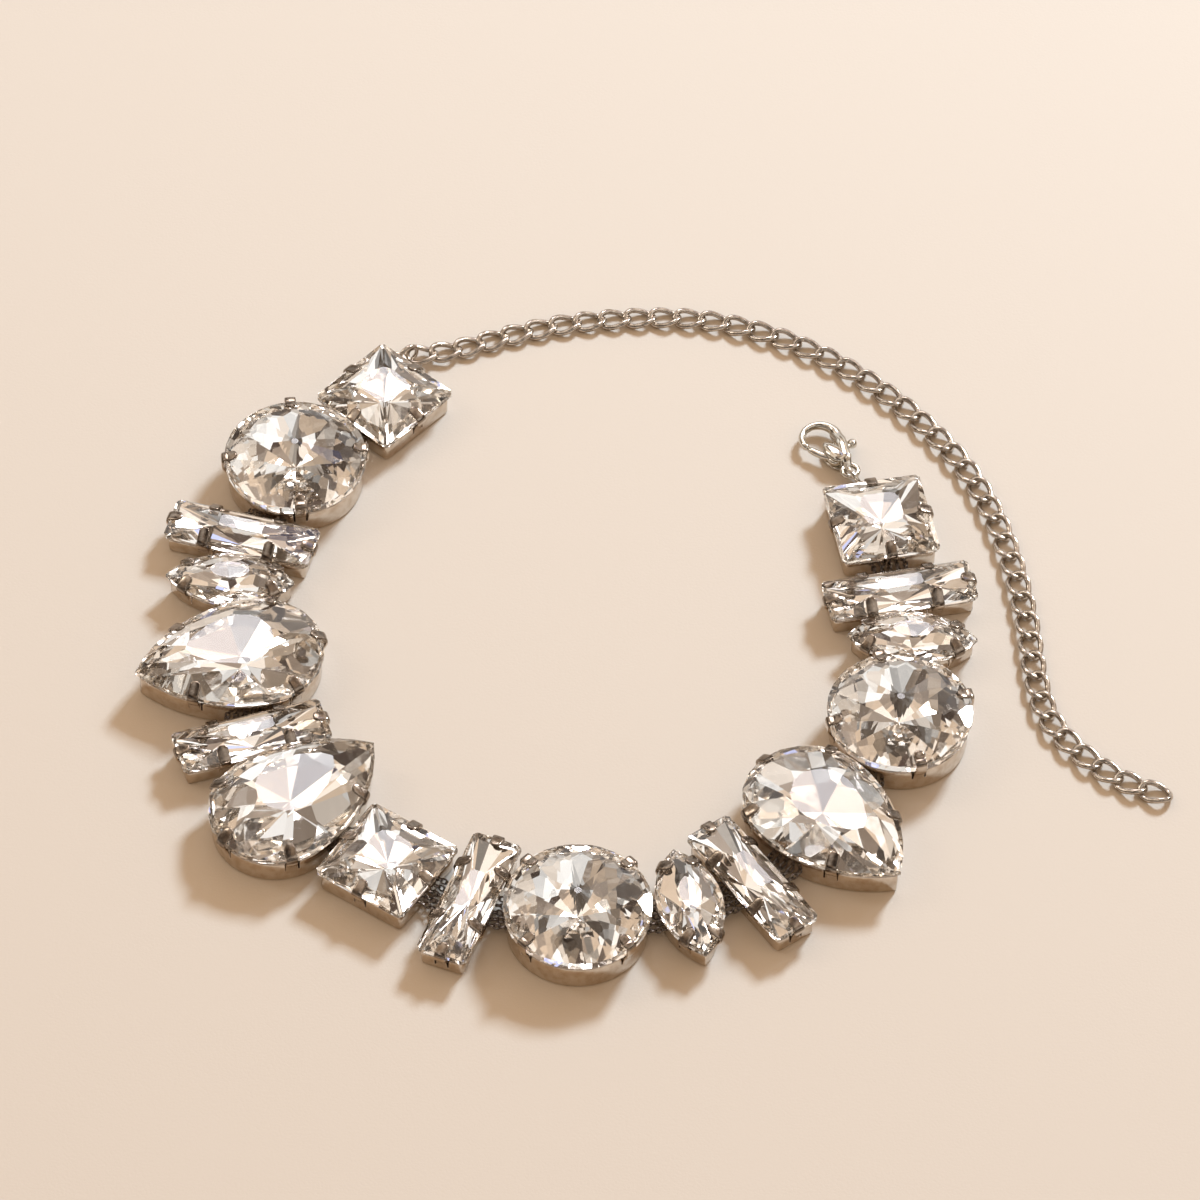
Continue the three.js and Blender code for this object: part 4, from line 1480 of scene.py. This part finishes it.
@dataclass(frozen=True)
class Panel:
    """A soft light panel that faces the necklace: sizes in metres, angles in degrees.

    The strength is in watts for each square metre. A panel may light the paper and other dull
    surfaces, show as glints in metal and glass, or both.
    """

    name: str
    azimuth: float
    elevation: float
    distance: float
    width: float
    height: float
    strength: float
    colour: str = "#ffffff"
    lights_paper: bool = True
    glints: bool = True

    def build(self, aim: Array) -> None:
        """Places the panel, looking at the aim point.

        Args:
            aim: The point on the surface that it faces, in metres.
        """
        light = bpy.data.lights.new(self.name, "AREA")
        light.shape = "RECTANGLE"
        light.size, light.size_y = self.width, self.height
        light.energy = self.strength * self.width * self.height
        light.color = linear(self.colour)[:3]
        turn, rise = math.radians(self.azimuth), math.radians(self.elevation)
        level = math.cos(rise)
        back = np.array([level * math.cos(turn), level * math.sin(turn), math.sin(rise)])
        right = unit(np.cross(UP, back))
        made = bpy.data.objects.new(self.name, light)
        made.visible_diffuse = self.lights_paper
        made.visible_glossy = made.visible_transmission = self.glints
        bpy.context.scene.collection.objects.link(made)
        made.matrix_world = oriented(right, np.cross(back, right), back, aim + back * self.distance)


def oriented(right: Array, up: Array, back: Array, spot: Array) -> Matrix:
    """The matrix of a camera or lamp, whose three directions and place are its columns."""
    return Matrix([[*row] for row in np.column_stack([right, up, back, spot])] + [[0, 0, 0, 1]])


@dataclass(frozen=True)
class Studio:
    """Camera, floor and light.

    The camera's lengths are in millimetres, its angles in degrees, and the floor's size and the
    nearest and farthest that the camera sees in metres.
    The aim is where the camera looks, counted from the front stone's middle. A card's tone is a
    share of the room at which it starts, and its sRGB colour. The glow is how bright the room is
    away from its bright side and towards it, and the flag how bright it is behind the camera.
    """

    elevation: float = 50.06
    roll: float = 1.353
    distance: float = 863.0
    lens: float = 185.25
    sensor: float = 36.0
    clip: tuple[float, float] = (0.01, 20.0)
    aim_from_front_stone: tuple[float, float] = (2.0, 57.6)
    floor_size: float = 12.0
    floor_gap: float = 0.02
    card_scale: float = 4.8
    card_tones: tuple[tuple[float, str], ...] = (
        (0.0, "#4c3f38"), (0.11, "#8d7d70"), (0.28, "#e9b98c"), (0.286, "#b9c0ee"), (0.294, "#c6b09b"),
        (0.5, "#e6d9cd"), (0.74, "#fbf8f6"))
    glow_side: tuple[float, float, float] = (0.15, 0.3, 0.94)
    glow_span: tuple[float, float] = (0.1, 0.95)
    glow: tuple[float, float] = (0.5, 1.7)
    flag_side: tuple[float, float, float] = (0.0, -0.36, 0.933)
    flag_span: tuple[float, float] = (0.93, 0.98)
    flag: tuple[float, float] = (1.0, 0.2)
    fill_colour: str = "#ffdab2"
    fill_strength: float = 0.8
    backdrop_colour: str = "#ead7c0"
    backdrop_strength: float = 0.9
    bounces: int = 20
    mirror_bounces: int = 16
    panels: tuple[Panel, ...] = (
        Panel("back_softbox", 90, 50.5, 1.1, 0.38, 0.34, 26.0, "#faf8ff", lights_paper=False),
        Panel("right_key", 58, 36, 1.3, 0.24, 0.24, 420.0, "#def0ff", glints=False),
        Panel("right_sparkle", 38, 34, 1.3, 0.18, 0.18, 500.0, "#f4f8ff", lights_paper=False),
        Panel("left_strip", 165, 40, 1.0, 0.1, 0.4, 20.0, "#fff8ee"),
    )

    def aim(self) -> Array:
        """The point on the surface that the camera looks at, in metres."""
        middle = node_middle("stone_10_round")[:2]
        return np.array([*(middle + self.aim_from_front_stone), 0.0]) * METRE

    def camera(self) -> None:
        """Adds the camera at the photograph's angle and makes it the scene's."""
        data = bpy.data.cameras.new("camera")
        data.lens, data.sensor_width = self.lens, self.sensor
        data.clip_start, data.clip_end = self.clip
        rise, roll = math.radians(self.elevation), math.radians(self.roll)
        back = np.array([0.0, -math.cos(rise), math.sin(rise)])
        side, top = np.array([1.0, 0.0, 0.0]), np.array([0.0, math.sin(rise), math.cos(rise)])
        right = math.cos(roll) * side + math.sin(roll) * top
        up = -math.sin(roll) * side + math.cos(roll) * top
        made = bpy.data.objects.new("camera", data)
        bpy.context.scene.collection.objects.link(made)
        made.matrix_world = oriented(right, up, back, self.aim() + back * self.distance * METRE)
        bpy.context.scene.camera = made

    def floor(self) -> None:
        """Adds a plain sheet of paper under the necklace."""
        half = self.floor_size / 2
        mesh = bpy.data.meshes.new("floor")
        corners = [(-half, -half, 0), (half, -half, 0), (half, half, 0), (-half, half, 0)]
        mesh.from_pydata(corners, [], [(0, 1, 2, 3)])
        mesh.materials.append(PAPER.make())
        made = bpy.data.objects.new("floor", mesh)
        bpy.context.scene.collection.objects.link(made)
        made.location.z = -self.floor_gap * METRE

    @staticmethod
    def ramp(tree: bpy.types.NodeTree, way: bpy.types.NodeSocket, side: tuple[float, float, float],
             span: tuple[float, float], ends: tuple[float, float]) -> bpy.types.NodeSocket:
        """Runs smoothly between two values by how near a direction is to one side of the room.

        Args:
            tree: The room's node tree.
            way: The socket of the direction.
            side: The direction of that side.
            span: Cosines between which the value runs.
            ends: The values at the two ends of the span.

        Returns:
            The socket of the value.
        """
        toward = add_node(tree, "ShaderNodeVectorMath", {"operation": "DOT_PRODUCT"}, {0: way, 1: side})
        return add_node(tree, "ShaderNodeMapRange", {"interpolation_type": "SMOOTHSTEP"}, {
            "Value": toward.outputs["Value"], "From Min": span[0], "From Max": span[1],
            "To Min": ends[0], "To Max": ends[1]}).outputs["Result"]

    def cards(self, tree: bpy.types.NodeTree, way: bpy.types.NodeSocket) -> bpy.types.NodeSocket:
        """Colours the room as plain cards of a few tones, so that neighbouring facets differ.

        Args:
            tree: The room's node tree.
            way: The socket of the direction.

        Returns:
            The socket of the colour.
        """
        cells = add_node(tree, "ShaderNodeTexVoronoi", {"feature": "F1"}, {
            "Vector": way, "Scale": self.card_scale})
        pick = add_node(tree, "ShaderNodeSeparateColor", inputs={"Color": cells.outputs["Color"]})
        cards = add_node(tree, "ShaderNodeValToRGB", inputs={"Fac": pick.outputs["Red"]})
        band = cards.color_ramp
        band.interpolation = "CONSTANT"
        given = len(band.elements)
        for number, (place, code) in enumerate(self.card_tones):
            stop = band.elements[number] if number < given else band.elements.new(place)
            stop.position, stop.color = place, linear(code)
        return cards.outputs["Color"]

    def surroundings(self) -> None:
        """Makes the room: bright behind and above, dim towards the front, as a studio is."""
        world = bpy.data.worlds.new("room")
        bpy.context.scene.world = world
        world.use_nodes = True
        tree = world.node_tree
        tree.nodes.clear()
        way = add_node(tree, "ShaderNodeTexCoord").outputs["Generated"]
        level = add_node(tree, "ShaderNodeMath", {"operation": "MULTIPLY"}, {
            0: self.ramp(tree, way, self.glow_side, self.glow_span, self.glow),
            1: self.ramp(tree, way, self.flag_side, self.flag_span, self.flag)})
        room = add_node(tree, "ShaderNodeBackground", inputs={
            "Color": self.cards(tree, way), "Strength": level.outputs["Value"]})
        # Paper and other dull surfaces take one warm fill light, which also keeps shadows clean
        fill = add_node(tree, "ShaderNodeBackground", inputs={
            "Color": linear(self.fill_colour), "Strength": self.fill_strength})
        ray = add_node(tree, "ShaderNodeLightPath").outputs
        mirrored = add_node(tree, "ShaderNodeMath", {"operation": "MAXIMUM"}, {
            0: ray["Is Glossy Ray"], 1: ray["Is Transmission Ray"]})
        light = add_node(tree, "ShaderNodeMixShader", inputs={
            0: mirrored.outputs["Value"], 1: fill.outputs["Background"], 2: room.outputs["Background"]})
        seen = add_node(tree, "ShaderNodeBackground", inputs={
            "Color": linear(self.backdrop_colour), "Strength": self.backdrop_strength})
        mix = add_node(tree, "ShaderNodeMixShader", inputs={
            0: ray["Is Camera Ray"], 1: light.outputs["Shader"], 2: seen.outputs["Background"]})
        add_node(tree, "ShaderNodeOutputWorld", inputs={"Surface": mix.outputs["Shader"]})

    def build(self) -> None:
        """Adds everything that isn't part of the necklace."""
        self.camera()
        self.floor()
        self.surroundings()
        for panel in self.panels:
            panel.build(self.aim())
        scene = bpy.context.scene
        scene.view_settings.view_transform = "Standard"
        # Light crosses the glass and meets the foil many times before it leaves a stone
        scene.cycles.max_bounces, scene.cycles.glossy_bounces = self.bounces, self.mirror_bounces


def main() -> None:
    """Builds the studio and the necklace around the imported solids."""
    logging.basicConfig(level=logging.INFO, format="%(message)s")
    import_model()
    Studio().build()
    StoneRow().build()
    Fastening().build()


if __name__ == "__main__":
    main()
